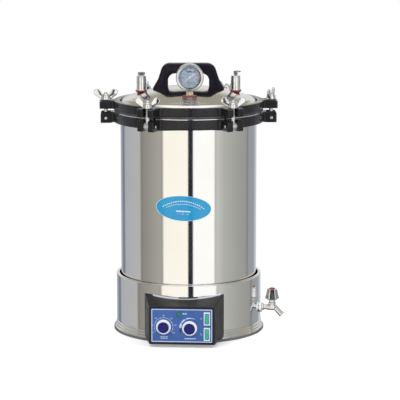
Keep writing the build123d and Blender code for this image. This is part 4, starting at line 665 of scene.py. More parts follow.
NUT_SEAT, NUT_HUB_R, NUT_HUB_TOP_R, NUT_HUB_HEIGHT = 484.2, 10.0, 8.4, 12.0
WING_TIP_X, WING_TIP_Z, WING_TIP_R, WING_THICK = 18.0, 15.5, 7.0, 5.0
EAR_START, EAR_LENGTH, EAR_THINNING = 8.0, 17.0, 0.3
FIRST_CLAMP, CLAMP_PITCH = 1.7, 60
CLAMP_AZIMUTHS = [FIRST_CLAMP + CLAMP_PITCH * i for i in range(6)]
WING_AZIMUTHS = (72.0, 28.0, 98.0, 2.0, -3.0, 4.0)


# Vessel, skirt and lid


def vessel_shell():
    """Pot in half section, turned: flat floor, rounded corner, upright wall, turned-out rim, and the same
    line back down the inside."""
    return lathed([
        (0, VESSEL_FOOT), (VESSEL_R, VESSEL_FOOT, 12), (VESSEL_R, RIM_UNDER, 1.5), (RIM_R, RIM_UNDER, 1.1),
        (RIM_R, RIM_TOP, 1.1), (VESSEL_BORE_R, RIM_TOP, 3), (VESSEL_BORE_R, CHAMBER_FLOOR, 10),
        (0, CHAMBER_FLOOR)], 192)


def skirt_shell():
    """Sheet cylinder in half section, turned. Its foot flares out by a power of the height left, less a
    cosine ripple that makes the pressed grooves, and its top rolls in to the lip."""
    left = np.linspace(1, 0, 61)
    ripple = GROOVE_DEPTH * (0.5 - 0.5 * np.cos(2 * math.pi * FOOT_GROOVES * left))
    flare = np.stack((
        SKIRT_R + FLARE * left ** FLARE_POWER - ripple, SKIRT_FOOT + FLARE_HEIGHT * (1 - left)), -1)
    upper = rounded([
        (SKIRT_R, SKIRT_FOOT + FLARE_HEIGHT + 0.3), (SKIRT_R, SKIRT_TOP, 3), (SKIRT_LIP_R, SKIRT_TOP, 1.4),
        (SKIRT_LIP_R, SKIRT_TOP - 4), (SKIRT_LIP_R + 1, SKIRT_TOP - 4), (SKIRT_LIP_R + 1, SKIRT_TOP - 1, 0.4),
        (SKIRT_BORE_R, SKIRT_TOP - 1, 2), (SKIRT_BORE_R, SKIRT_FOOT)])
    return turned(np.concatenate((flare, upper)), 192, closed=True)


def lid_side(wall, shoulder):
    """Half section of one side of the lid from the axis outwards: spherical crown with a shallow shoulder
    groove at its edge, and the round knuckle, both drawn in by the wall."""
    knuckle_x = DOME_R - KNUCKLE_R
    knuckle_z = SPHERE_Z + math.sqrt((DOME_SPHERE_R - KNUCKLE_R) ** 2 - knuckle_x ** 2)
    lean = math.degrees(math.atan2(knuckle_x, knuckle_z - SPHERE_Z))
    crown = arc(DOME_SPHERE_R - wall, 90, 90 - lean, y=SPHERE_Z, count=90)
    knuckle = arc(KNUCKLE_R - wall, 90 - lean, 0, knuckle_x, knuckle_z, 28)
    line = np.concatenate((crown, knuckle[1:]))
    line[:, 1] -= shoulder * np.exp(-((line[:, 0] - knuckle_x) / SHOULDER_WIDTH) ** 2)
    return line


def lid_shell():
    """Cover in half section, turned: crown, knuckle, short wall and flat flange, then back inside."""
    edge = rounded([
        (DOME_R, FLANGE_TOP + 6), (DOME_R, FLANGE_TOP, 1.6), (FLANGE_R, FLANGE_TOP, 0.4),
        (FLANGE_R, FLANGE_UNDER, 0.4), (DOME_R - LID_WALL, FLANGE_UNDER, 1.0),
        (DOME_R - LID_WALL, FLANGE_TOP + 4)])
    return turned(np.concatenate((lid_side(0, SHOULDER_DEPTH), edge, lid_side(LID_WALL, 0)[::-1])), 192)


def seal_shell():
    """Seal in section, turned: a flat ring under the lid's flange that wraps round the flange's edge."""
    return lathed([
        (SEAL_BORE_R, RIM_TOP), (RIM_R - 0.2, RIM_TOP, 0.9), (RIM_R - 0.1, FLANGE_TOP - 0.1, 0.3),
        (FLANGE_R, FLANGE_TOP - 0.1), (FLANGE_R, FLANGE_UNDER), (SEAL_BORE_R, FLANGE_UNDER)], 160,
        closed=True)


piece("vessel_pot", [vessel_shell()], polished_steel, "vessel")
piece("skirt_sheet", [skirt_shell()], polished_steel, "base_skirt")
piece("lid_cover", [lid_shell()], spun_steel, "lid_dome")
piece("wrapped_seal", [seal_shell()], silicone, "lid_seal")


# Clamp rings, swing bolts and wing nuts


def ring_outline(reach, slot_start, slot_round):
    """Plan of a clamp ring: its circle between the clamps, and at each clamp a lug whose slot is open to
    the outside and ends round or square at slot_start."""
    root = math.sqrt(RING_R ** 2 - LUG_HALF ** 2)
    side = [(x, LUG_HALF) for x in np.linspace(root + 8, reach - 6, 4)]
    slot = [(reach, SLOT_HALF, 2.0), (reach - 5, SLOT_HALF), (slot_start + 5, SLOT_HALF)]
    if slot_round:
        end = arc(SLOT_HALF, 270, 90, slot_start, 0, 13).tolist()
    else:
        end = [(slot_start, -SLOT_HALF, 1.5), (slot_start, SLOT_HALF, 1.5)]
    half = [(root, LUG_HALF, 4.0)] + side + [(reach, LUG_HALF, 3.0)] + slot
    lug = [(x, -y, *rest) for x, y, *rest in half] + end + half[::-1]
    lug_angle = math.degrees(math.asin(LUG_HALF / RING_R)) + 3
    corners = []
    for azimuth in CLAMP_AZIMUTHS:
        c, s = math.cos(math.radians(azimuth)), math.sin(math.radians(azimuth))
        corners += [(x * c - y * s, x * s + y * c, *rest) for x, y, *rest in lug]
        corners += arc(
            RING_R, azimuth + lug_angle, azimuth + CLAMP_PITCH - lug_angle, count=16).tolist()
    return rounded(corners, closed=True, guard=0.3)


def along_clamp(points):
    """Distance of each point from the vessel's axis, measured along the nearest clamp's own direction."""
    turn = np.degrees(np.arctan2(points[:, 1], points[:, 0])) - FIRST_CLAMP
    off = np.radians((turn + CLAMP_PITCH / 2) % CLAMP_PITCH - CLAMP_PITCH / 2)
    return np.hypot(points[:, 0], points[:, 1]) * np.cos(off)


def lower_ring_shell():
    """Cast ring with fork lugs: a slab over its plan, whose lugs reach lower and round off at the top of
    their outer end on a circle."""
    points, faces = plate(
        [ring_outline(LOWER_LUG_R, FORK_START, False), circle(RING_BORE_R, count=144, hole=True)],
        LOWER_RING_FOOT, RIM_UNDER, edge=1.6, top_edge=1.0)
    out = along_clamp(points)
    low = points[:, 2] < LOWER_RING_FOOT + 5
    sunk = np.clip((out - LUG_DROP_START) / 2, 0, 1) * (LOWER_RING_FOOT - LUG_FOOT)
    points[:, 2] -= np.where(low, sunk, 0)
    over = np.clip(out - (LOWER_LUG_R - LUG_ROUND), 0, LUG_ROUND)
    crown = RIM_UNDER - LUG_ROUND + np.sqrt(LUG_ROUND ** 2 - over ** 2)
    points[:, 2] = np.minimum(points[:, 2], crown)
    return points, faces


def upper_ring_shell():
    """Cast ring with slotted lugs: a slab over its plan, its lugs crowned outside the bolts on a circle
    about the hinge pins, so that the nuts clear them as they swing."""
    points, faces = plate(
        [ring_outline(UPPER_LUG_R, BOLT_CIRCLE_R, True), circle(RING_BORE_R, count=144, hole=True)],
        FLANGE_TOP, UPPER_RING_TOP, edge=1.0, top_edge=1.8)
    over = np.clip(along_clamp(points) - BOLT_CIRCLE_R, 0, None)
    crown = PIVOT_Z + np.sqrt((UPPER_RING_TOP - PIVOT_Z) ** 2 - over ** 2)
    points[:, 2] = np.minimum(points[:, 2], crown)
    return points, faces


def threaded(radius, low, high, pitch, depth):
    """Screw thread: the radius falls by a triangle wave of the height plus the turn, so the grooves climb
    by one pitch a turn, and it draws in at the tip."""
    rows = np.linspace(low, high, int((high - low) / pitch * 6) + 1)
    turn = np.linspace(0, 2 * math.pi, 28, endpoint=False)
    phase = (rows[:, None] / pitch - turn[None] / (2 * math.pi)) % 1
    cut = depth * np.abs(2 * phase - 1)
    tip = 1 - np.sqrt(np.clip((high - rows) / THREAD_TIP, 0, 1))[:, None]
    r = radius - cut - THREAD_TIP_DRAW * tip
    loops = np.stack((r * np.cos(turn), r * np.sin(turn), rows[:, None] + 0 * r), -1)
    return lofted(loops)


def bolt_shells(azimuth):
    """Eye bolt: a drilled eye round its pin, a plain neck that widens into the eye, and a thread."""
    eye = plate([circle(EYE_R), circle(PIN_R + 0.05, hole=True)], -EYE_WIDTH / 2, EYE_WIDTH / 2, edge=0.9)
    neck = turned([(0, 6.5), (4.8, 6.5), (4.5, 7.6), (BOLT_R, 9.2), (BOLT_R, 20), (BOLT_R - 0.5, 20.6),
                   (0, 20.6)], 32)
    thread = threaded(BOLT_R, 20.4, BOLT_TOP - PIVOT_Z, THREAD_PITCH, 0.6)
    return [placed(shell, BOLT_CIRCLE_R, azimuth, PIVOT_Z) for shell in (spun(eye, 90, "X"), neck, thread)]


def wing_outline():
    """One ear of the nut, drawn in X and height over the seat: round tip on a leaning stalk."""
    tip = arc(WING_TIP_R, -52, 138, WING_TIP_X, WING_TIP_Z, 22).tolist()
    return rounded([(5.5, 1.2), (9.8, 1.2, 2.0)] + tip + [(7.4, 11.8, 1.0), (5.5, 11.0)], closed=True)


def nut_shells(azimuth, wing_azimuth):
    """Wing nut: a hub with a domed shoulder round the thread, and two ears that thin towards their tips."""
    hub = lathed([
        (BOLT_R + 0.1, 0), (NUT_HUB_R, 0, 0.8), (NUT_HUB_R - 0.2, 2.4, 0.4),
        (NUT_HUB_TOP_R, NUT_HUB_HEIGHT, 4.5), (BOLT_R + 0.1, NUT_HUB_HEIGHT, 0.5)], 48, closed=True)
    points, faces = spun(plate([wing_outline()], -WING_THICK / 2, WING_THICK / 2, edge=1.5), 90, "X")
    points[:, 1] *= 1.0 - EAR_THINNING * np.clip((points[:, 0] - EAR_START) / EAR_LENGTH, 0, 1)
    ear = points, faces
    return [placed(spun(shell, wing_azimuth - azimuth), BOLT_CIRCLE_R, azimuth, NUT_SEAT)
            for shell in (hub, ear, spun(ear, 180))]


def pin_shell(azimuth):
    """Hinge pin across a fork, with its ends a little domed outside the lug."""
    half = LUG_HALF + 1
    body = lathed([(0, -half), (PIN_R, -half, 0.7), (PIN_R, half, 0.7), (0, half)], 32)
    return placed(spun(body, 90, "X"), BOLT_CIRCLE_R, azimuth, PIVOT_Z)


piece("lower_ring_casting", [lower_ring_shell()], black_casting, "lower_clamp_ring")
piece("upper_ring_casting", [upper_ring_shell()], black_casting, "upper_clamp_ring")
piece("hinge_pins", [pin_shell(azimuth) for azimuth in CLAMP_AZIMUTHS], zinc_steel, "clamp_pins")
for number, (clamp_azimuth, wing_azimuth) in enumerate(zip(CLAMP_AZIMUTHS, WING_AZIMUTHS), 1):
    piece(f"eye_bolt_{number}", bolt_shells(clamp_azimuth), zinc_steel, f"swing_bolt_{number}",
          f"clamp_{number}")
    piece(f"eared_nut_{number}", nut_shells(clamp_azimuth, wing_azimuth), chrome, f"wing_nut_{number}",
          f"nut_{number}")


# Fittings on the lid: handle, gaskets, pressure gauge and valves

FITTING_R, GASKET_R, GASKET_TOP, SPIGOT_FOOT, SPIGOT_R = 98.0, 12.5, 503.73, 486.0, 6.45
GAUGE_AZIMUTH, SAFETY_AZIMUTH, VENT_AZIMUTH = -88.3, 181.7, 1.7
GAUGE_R, CASE_R, GAUGE_Z, CASE_BACK, DIAL_FACE = 28.4, 27.6, 541.5, -13.0, 6.0
DIAL_R, DIAL_LIP_R, DIAL_SWEEP, DIAL_START, NEEDLE_LEVEL = 25.4, 23.0, 270.0, 218.0, 7.2
VALVE_R, VALVE_TOP, VALVE_HOLE_R, VALVE_HOLE_Z, VALVE_HOLES = 9.8, 533.73, 1.5, 521.0, 6
VALVE_CEILING = VALVE_TOP - 2.5
PULL_TOP, PLUNGER_R, SEAT_Z, SEAT_DISC, SAFETY_LIFT = 541.13, 2.4, 508.73, 2.5, 2.5
COIL_R, COIL_WIRE_R, COIL_TURNS, COIL_END_GAP = 4.9, 0.7, 6.5, 0.75
HANDLE_HALF_DEPTH, HANDLE_TOP, GRIP_TOP, GRIP_HALF = 13.5, 560.0, 539.0, 42.5
HANDLE_FOOT_HALF, HANDLE_BLANK_FOOT, HANDLE_SINK = 74.0, 490.0, 1.2
SCALE_R, TICK_R, FINE_TICK_R, NUMBER_R = 20.4, 17.2, 18.8, 14.4
WAIST_FOOT_R, WAIST_REACH = 8.0, 1.15


def dome_height(x, y):
    """Height of the lid's outer crown over a point."""
    return SPHERE_Z + np.sqrt(DOME_SPHERE_R ** 2 - x ** 2 - y ** 2)


def handle_shell():
    """Arch with flared feet: its front outline as a thick plate with round edges, stood up, and every
    point that would lie under the lid raised to just below the lid's crown."""
    side = [(GRIP_HALF, GRIP_TOP, 15), (GRIP_HALF, HANDLE_BLANK_FOOT), (HANDLE_FOOT_HALF, HANDLE_BLANK_FOOT),
            (HANDLE_FOOT_HALF, 508, 6.0), (63.5, 526, 18), (52.5, HANDLE_TOP, 19)]
    other_side = [(-x, *rest) for x, *rest in side[::-1]]
    outline = rounded(side + other_side, closed=True, steps=14)
    points, faces = spun(plate([outline], -HANDLE_HALF_DEPTH, HANDLE_HALF_DEPTH, edge=5.5, steps=8),
                         90, "X")
    points[:, 2] = np.maximum(points[:, 2], dome_height(points[:, 0], points[:, 1]) - HANDLE_SINK)
    return points, faces


def gasket_shell(azimuth, radius=GASKET_R, lip=1.3):
    """Moulded washer: a round lip under the fitting, then a waist that draws in as it comes down to the
    crown, each ring of points moved down by its share of the drop to the crown under it."""
    waist = np.linspace(0.12, WAIST_REACH, 14)
    lip_turn = np.radians(np.linspace(90, -90, 5))
    share = np.concatenate((0 * lip_turn, waist))
    radii = np.concatenate((
        radius - lip + lip * np.cos(lip_turn),
        WAIST_FOOT_R + (radius - lip - WAIST_FOOT_R) * (1 - waist / WAIST_REACH) ** 1.6))
    sink = np.concatenate((lip - lip * np.sin(lip_turn), 2 * lip + 0 * waist))
    turn = np.linspace(0, 2 * math.pi, 64, endpoint=False)
    x = FITTING_R + radii[:, None] * np.cos(turn)
    y = radii[:, None] * np.sin(turn)
    top = GASKET_TOP - sink[:, None]
    z = top - share[:, None] * np.maximum(top - dome_height(x, y) + 0.3, 0)
    return spun(lofted(np.stack((x, y, z), -1)), azimuth)


def gauge_washer():
    """Flat red washer with a round rim under the gauge's hexagon."""
    bore_r, rim_r, low = 6.6, 15.0, GASKET_TOP - 2.6
    washer = lathed([(bore_r, low), (rim_r, low, 1.25), (rim_r, GASKET_TOP, 1.25), (bore_r, GASKET_TOP)],
                    64, closed=True)
    return placed(washer, FITTING_R, GAUGE_AZIMUTH)


def spigot_shell(azimuth):
    """Threaded tail of a fitting through the lid."""
    points, faces = threaded(SPIGOT_R, -(GASKET_TOP - 1), -SPIGOT_FOOT, 1.5, 0.7)
    return placed((points * (1, 1, -1), faces), FITTING_R, azimuth)


def on_gauge(shell):
    """A shell drawn with the dial in its XY plane, stood up on the gauge's place."""
    return placed(facing_out(shell), FITTING_R, GAUGE_AZIMUTH, GAUGE_Z)


def sector(inner, outer, start, end, low, high, x=0.0, y=0.0):
    """Flat strip between two circles about (x, y) and two angles in degrees."""
    count = max(3, int(abs(end - start) / 4) + 2)
    loop = np.concatenate((arc(outer, start, end, x, y, count), arc(inner, end, start, x, y, count)))
    return plate([loop], low, high)


def stroke(x0, y0, x1, y1, width, low, high):
    """Straight print line from one point to another, a thin box."""
    along = np.array((x1 - x0, y1 - y0), float)
    side = np.array((-along[1], along[0])) / np.hypot(*along) * width / 2
    a, b = np.array((x0, y0)), np.array((x1, y1))
    return plate([(a - side, b - side, b + side, a + side)], low, high)


# Strokes of the print's plain lettering, on a grid 2 wide and 4 high, and the strokes of each letter
LETTER_STROKES = {
    "top": (0, 4, 2, 4), "middle": (0, 2, 2, 2), "foot": (0, 0, 2, 0), "high left": (0, 2, 0, 4),
    "high right": (2, 2, 2, 4), "low left": (0, 0, 0, 2), "low right": (2, 0, 2, 2),
    "slant": (0, 4, 2, 0), "post": (1, 0, 1, 4)}
LETTERS = {
    "0": ("top", "foot", "high left", "high right", "low left", "low right"), "1": ("post",),
    "2": ("top", "high right", "middle", "low left", "foot"),
    "3": ("top", "high right", "middle", "low right", "foot"),
    "4": ("high left", "middle", "high right", "low right"),
    "5": ("top", "high left", "middle", "low right", "foot"),
    "6": ("top", "high left", "middle", "low right", "foot", "low left"),
    "F": ("top", "middle", "high left", "low left"),
    "N": ("high left", "low left", "slant", "high right", "low right")}
LETTERS["O"] = LETTERS["0"]


def lettering(text, x, y, height, low, high, turn=0.0):
    """Numbers and words in plain strokes, centred on (x, y)."""
    unit = height / 4
    pitch = unit * 3.4
    shells = []
    for i, letter in enumerate(text):
        left = (i - (len(text) - 1) / 2) * pitch - unit
        for name in LETTERS[letter]:
            x0, y0, x1, y1 = np.array(LETTER_STROKES[name]) * unit
            line = stroke(left + x0, y0 - height / 2, left + x1, y1 - height / 2, height * 0.16, low, high)
            shells.append(moved(spun(line, turn), x, y))
    return shells


def radial_ticks(count, start, sweep, inner, outer, width, low, high, x=0.0, y=0.0):
    """Evenly spaced short lines that point at (x, y), from one angle by a sweep in degrees."""
    ends = [arc(radius, start, start + sweep, x, y, count) for radius in (inner, outer)]
    return [stroke(*near, *far, width, low, high) for near, far in zip(*ends)]


def gauge_pieces():
    """Pressure gauge: hexagon stem, cup, rolled bezel, glass, printed dial and needle."""
    neck_top = GAUGE_Z - CASE_R + 1.5
    hex_top = GAUGE_Z - GAUGE_R - 1.5
    hexagon_loop = rounded([(*corner, 0.8) for corner in circle(7.0 / math.cos(math.pi / 6), count=6)],
                           closed=True)
    hexagon = plate([hexagon_loop], GASKET_TOP, hex_top, edge=0.9)
    neck = lathed([
        (0, hex_top - 1), (5, hex_top - 1), (5, hex_top + 0.8, 0.5), (5.8, hex_top + 1.6, 0.4),
        (5.8, neck_top - 0.6, 0.5), (5, neck_top), (0, neck_top)], 40)
    stem = [placed(shell, FITTING_R, GAUGE_AZIMUTH) for shell in (hexagon, neck)]
    piece("gauge_hexagon", stem + [spigot_shell(GAUGE_AZIMUTH)], brass, "gauge_stem")

    wall, bore_r = 1.2, 0.01
    cup = lathed([
        (bore_r, CASE_BACK), (CASE_R, CASE_BACK, 3.2), (CASE_R, 12.6, 0.4), (CASE_R - wall, 12.6, 0.4),
        (CASE_R - wall, CASE_BACK + wall, 2.0), (bore_r, CASE_BACK + wall)], 96, closed=True)
    piece("gauge_cup", [cup], chrome, "gauge_case", at=on_gauge)
    bezel = lathed([
        (CASE_R, 7.0), (GAUGE_R, 7.0, 0.6), (GAUGE_R, 13.8, 2.2), (26.9, 13.7, 0.8), (DIAL_LIP_R, 12.6, 0.4),
        (DIAL_LIP_R, 11.9, 0.2), (DIAL_R, 11.9), (DIAL_R, DIAL_FACE), (DIAL_R + 0.8, DIAL_FACE),
        (DIAL_R + 0.8, 11.4), (CASE_R, 11.4)], 120, closed=True)
    piece("gauge_rim", [bezel], rim_chrome, "gauge_bezel", at=on_gauge)
    glass_top, bow_r, bow_edge = 11.7, 220, 83.8
    bow = arc(bow_r, bow_edge, 90, 0, glass_top - bow_r * math.sin(math.radians(bow_edge)), 24)
    edge = rounded([(DIAL_R - 0.1, 10.2), (DIAL_R - 0.1, 11.6, 0.3), (DIAL_R - 1, glass_top)])
    glass = turned(np.concatenate(([(0.0, 10.2)], edge, bow)), 96)
    piece("gauge_window", [glass], clear_glass, "gauge_glass", at=on_gauge)

    dial = lathed([(2.2, DIAL_FACE - 0.8), (DIAL_R + 0.6, DIAL_FACE - 0.8), (DIAL_R + 0.6, DIAL_FACE),
                   (2.2, DIAL_FACE)], 96)
    piece("dial_plate", [dial], dial_paper, "gauge_dial", at=on_gauge)
    low, high = DIAL_FACE - 0.01, DIAL_FACE + 0.06
    ink = [sector(SCALE_R - 0.2, SCALE_R + 0.2, DIAL_START - DIAL_SWEEP, DIAL_START, low, high)]
    ink += radial_ticks(9, DIAL_START, -DIAL_SWEEP, TICK_R, SCALE_R, 0.75, low, high)
    ink += radial_ticks(41, DIAL_START, -DIAL_SWEEP, FINE_TICK_R, SCALE_R, 0.35, low, high)
    numbers = ("0", "05", "1", "15", "2", "25", "3", "35", "4")
    for number, place in zip(numbers, arc(NUMBER_R, DIAL_START, DIAL_START - DIAL_SWEEP, count=9)):
        ink += lettering(number, *place, 3.0, low, high)
    # A dark ring that is wider at one side, painted shade of the bezel's lip on the dial, and a bar over the
    # hub
    ink += [plate([circle(23.6, count=96), circle(22.2, -0.8, 0.2, count=96, hole=True)], low, high),
            sector(10.4, 12.6, 66, 114, low, high)]
    ink += [stroke(-4.5, -11, 4.5, -11, 1.3, low, high), stroke(-3, -14, 3, -14, 0.8, low, high)]
    piece("dial_print", ink, dial_ink, at=on_gauge)
    zone = sector(15.2, 22.9, -30, 44, DIAL_FACE - 0.02, DIAL_FACE + 0.03)
    piece("dial_zone", [zone], dial_pink, at=on_gauge)

    blade = plate([[(-13, -1.1), (-2, -0.8), (0, -0.9), (18, -0.3), (18, 0.3), (0, 0.9), (-2, 0.8),
                    (-13, 1.1)]], NEEDLE_LEVEL, NEEDLE_LEVEL + 0.5, edge=0.12)
    hub = lathed([(0, NEEDLE_LEVEL - 0.2), (2.4, NEEDLE_LEVEL - 0.2), (2.4, NEEDLE_LEVEL + 1.2, 0.6),
                  (0, NEEDLE_LEVEL + 1.4)], 32)
    shaft = turned([(0, -2), (1.0, -2), (1.0, NEEDLE_LEVEL), (0, NEEDLE_LEVEL)], 20)
    piece("dial_needle", [spun(blade, DIAL_START), hub, shaft], white_paint, "gauge_needle", "needle",
          on_gauge)


def drilled_barrel():
    """Wall of a valve's barrel round its six cross holes. Each sixth is a patch between a hole's circle
    and its square of wall, drawn flat with the arc length across, then wrapped round the axis; a last
    ring of points carries each hole's edge inwards."""
    half = math.pi * VALVE_R / VALVE_HOLES
    turn = np.linspace(0, 2 * math.pi, 48, endpoint=False) + math.pi / 4
    circle_line = np.stack((np.cos(turn), np.sin(turn)), -1)
    square = circle_line * half / np.abs(circle_line).max(1)[:, None]
    share = np.linspace(0, 1, 6)[:, None, None] ** 1.5
    flat = VALVE_HOLE_R * circle_line * (1 - share) + square * share
    flat = np.concatenate((flat[:1], flat))
    depth = np.zeros(flat.shape[:2])
    depth[0] = 3.2
    shells = []
    for middle in np.radians(np.arange(VALVE_HOLES) * 360 / VALVE_HOLES + 25):
        angle = flat[..., 0] / VALVE_R + middle
        r = VALVE_R - depth
        points = np.stack((r * np.cos(angle), r * np.sin(angle), flat[..., 1] + VALVE_HOLE_Z), -1)
        shells.append((points.reshape(-1, 3), ring_faces(*flat.shape[:2])))
    return shells, half


def valve_body_shells(azimuth):
    """Valve barrel: a flanged foot, plain wall, drilled belt, a groove under its round shoulder and the
    hole for the plunger."""
    belt, half = drilled_barrel()
    low = lathed([
        (0, GASKET_TOP), (VALVE_R + 0.9, GASKET_TOP, 0.3), (VALVE_R + 0.9, GASKET_TOP + 2, 0.4),
        (VALVE_R, GASKET_TOP + 2.6, 0.3), (VALVE_R, VALVE_HOLE_Z - half)], 72)
    high = lathed([
        (VALVE_R, VALVE_HOLE_Z + half), (VALVE_R, VALVE_TOP - 4.4, 0.2), (VALVE_R - 0.6, VALVE_TOP - 3.9),
        (VALVE_R - 0.6, VALVE_TOP - 3.3), (VALVE_R, VALVE_TOP - 2.8, 0.2), (VALVE_R, VALVE_TOP, 1.4),
        (PLUNGER_R + 0.1, VALVE_TOP, 0.2), (PLUNGER_R + 0.1, VALVE_CEILING), (7.0, VALVE_CEILING),
        (7.0, SEAT_Z), (0, SEAT_Z)], 72)
    shells = [placed(shell, FITTING_R, azimuth) for shell in [low, high] + belt]
    return shells + [spigot_shell(azimuth)]


def knurled(radius, low, high, edge, teeth, depth):
    """Round grip whose rim is a cosine wave of the turn, with round edges."""
    turn = np.linspace(0, 2 * math.pi, teeth * 6, endpoint=False)
    r = radius - depth * (0.5 + 0.5 * np.cos(teeth * turn))
    return plate([np.stack((r * np.cos(turn), r * np.sin(turn)), -1)], low, high, edge=edge, steps=3)


def coil_spring():
    """Spring over the safety valve's disc: a wire along a helix, in a mesh of its own."""
    room = VALVE_CEILING - SEAT_Z - SEAT_DISC
    share = np.linspace(0, 1, 260)
    turn = 2 * math.pi * COIL_TURNS * share
    height = VALVE_CEILING - COIL_END_GAP - (room - 2 * COIL_END_GAP) * (1 - share)
    helix = np.stack((COIL_R * np.cos(turn), COIL_R * np.sin(turn), height), -1)
    wire = placed(swept(helix, COIL_WIRE_R, 10), FITTING_R, SAFETY_AZIMUTH)
    coil = piece("valve_coil", [wire], zinc_steel, "safety_valve_spring")
    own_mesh(coil)


def valve_pieces():
    """Both valve barrels and the safety valve's plunger under its knurled pull."""
    piece("safety_barrel", valve_body_shells(SAFETY_AZIMUTH), chrome, "safety_valve_body")
    piece("vent_barrel", valve_body_shells(VENT_AZIMUTH), chrome, "vent_valve_body")
    rod = lathed([
        (0, SEAT_Z), (6.2, SEAT_Z, 0.4), (6.2, SEAT_Z + SEAT_DISC, 0.4), (PLUNGER_R, SEAT_Z + SEAT_DISC),
        (PLUNGER_R, VALVE_TOP + 0.4), (5.6, VALVE_TOP + 0.5, 0.5), (5.6, VALVE_TOP + 1.8, 0.5),
        (3.4, VALVE_TOP + 2.4, 0.8), (3.4, VALVE_TOP + 4)], 40)
    pull = knurled(7.3, VALVE_TOP + 1.6, PULL_TOP, edge=0.6, teeth=30, depth=0.7)
    piece("safety_rod", [placed(rod, FITTING_R, SAFETY_AZIMUTH)], chrome, "safety_valve_stem",
          "safety_plunger")
    piece("safety_pull", [placed(pull, FITTING_R, SAFETY_AZIMUTH)], knurled_steel, body="safety_plunger")


piece("carrying_handle", [handle_shell()], black_bakelite, "handle")
piece("moulded_gaskets", [gasket_shell(SAFETY_AZIMUTH), gasket_shell(VENT_AZIMUTH), gauge_washer()],
      red_silicone, "fitting_gaskets")
piece("gauge_collar", [moved(gasket_shell(GAUGE_AZIMUTH, 15.4, 0.4), z=-2.5)], sheet_steel)
gauge_pieces()
valve_pieces()
coil_spring()


# Control box and its panel, drawn about the box's own direction: X outwards, Y right, Z up

BOX_AZIMUTH = -93.8
BOX_FACE, BOX_BACK, BOX_FOOT = 195.0, 122.0, 7.0
BOX_FRONT_SIZE, BOX_BACK_SIZE = (134.0, 79.0), (166.0, 88.0)
BOX_TOP_BOW, BOX_CORNER_R, BOX_EDGE_R = 5.4, 2.0, 1.4
PANEL_Z, PANEL_SIZE, PANEL_THICK = 46.85, (124.0, 69.0), 1.5
PRINT_LOW, PRINT_HIGH = PANEL_THICK - 0.02, PANEL_THICK + 0.08
TIMER_AT, TEMPERATURE_AT, LAMP_AT = (-37.0, -2.6), (16.0, -4.8), (-6.0, 23.0)
SWITCHES_AT, SWITCH_SIZE = ((51.0, 15.0), (51.0, -17.0)), (13.0, 27.0)
KNOB_R, KNOB_CAP_R, KNOB_RISE, KNOB_TURN = 15.2, 11.3, 11.0, 225
TIMER_SCALE_START, TIMER_SCALE_SWEEP, WEDGE_R, DASH_GAP = 212, -244, 21.4, 0.7


def rectangle(width, height, radius, x=0.0, y=0.0, hole=False, steps=7):
    """Closed loop of a round-cornered rectangle about (x, y), clockwise for a hole."""
    w, h = width / 2, height / 2
    corners = [(x - w, y - h, radius), (x + w, y - h, radius), (x + w, y + h, radius), (x - w, y + h, radius)]
    return rounded(corners[::-1] if hole else corners, closed=True, steps=steps)


def resampled(loop, count):
    """The same closed loop with its points at even steps of its length."""
    closed = np.concatenate((loop, loop[:1]))
    length = np.concatenate(([0], np.cumsum(np.hypot(*np.diff(closed, axis=0).T))))
    at = np.linspace(0, length[-1], count, endpoint=False)
    return np.stack([np.interp(at, length, closed[:, k]) for k in (0, 1)], -1)


def box_rows():
    """Loops of the moulded cover, front to back. Straight lines run from its front rectangle to a larger
    one at the back, whose top bows upwards to both sides, and each stops where it meets the skirt; the
    front edge is a quarter round."""
    count = 480
    front = resampled(rectangle(*BOX_FRONT_SIZE, BOX_CORNER_R, 0, BOX_FOOT + BOX_FRONT_SIZE[1] / 2), count)
    scale = np.array(BOX_BACK_SIZE) / np.array(BOX_FRONT_SIZE)
    back = (front - (0, BOX_FOOT)) * scale + (0, BOX_FOOT)
    upper = np.clip((back[:, 1] - BOX_FOOT) / BOX_BACK_SIZE[1], 0, 1)
    back[:, 1] += BOX_TOP_BOW * upper * (2 * back[:, 0] / BOX_BACK_SIZE[0]) ** 2

    def at_distance(distance, loop):
        """The loop at a distance in front of the vessel's axis."""
        return np.concatenate((np.full((count, 1), distance), loop), -1)

    away = outward(front)
    rows = [at_distance(BOX_FACE - BOX_EDGE_R * (1 - math.cos(angle)),
                        front - BOX_EDGE_R * (1 - math.sin(angle)) * away)
            for angle in np.radians(np.linspace(0, 90, 7))]
    start = at_distance(BOX_FACE - BOX_EDGE_R, front)
    run = at_distance(BOX_BACK, back) - start
    a = run[:, 0] ** 2 + run[:, 1] ** 2
    b = start[:, 0] * run[:, 0] + start[:, 1] * run[:, 1]
    c = start[:, 0] ** 2 + start[:, 1] ** 2 - (SKIRT_R - 0.3) ** 2
    reach = ((-b - np.sqrt(np.maximum(b * b - a * c, 0))) / a)[:, None]
    rows += [start + run * reach * share for share in np.linspace(0, 1, 10)[1:]]
    return rows


def box_edging(rows, low_turn, high_turn, section):
    """Strip that lies on the skirt along the cover's top edge, between two directions about the box's
    own: its section, as distance off the skirt and height over the edge, carried along the edge."""
    line = rows[-1]
    turn = np.degrees(np.arctan2(line[:, 1], line[:, 0]))
    along = (line[:, 2] > line[:, 2].max() - 9) & (turn > low_turn) & (turn < high_turn)
    line = line[along][np.argsort(turn[along])]
    angle = np.radians(np.sort(turn[along]))
    away, rise = np.array(section).T
    r = SKIRT_R + np.repeat(away[None], len(line), 0)
    z = line[:, 2:] + rise[None]
    loops = np.stack((r * np.cos(angle)[:, None], r * np.sin(angle)[:, None], z), -1)
    return spun(lofted(loops), BOX_AZIMUTH)


def on_panel(shell):
    """A shell drawn over the panel's plane, set on the box's face."""
    return spun(moved(facing_out(shell), BOX_FACE, 0, PANEL_Z), BOX_AZIMUTH)


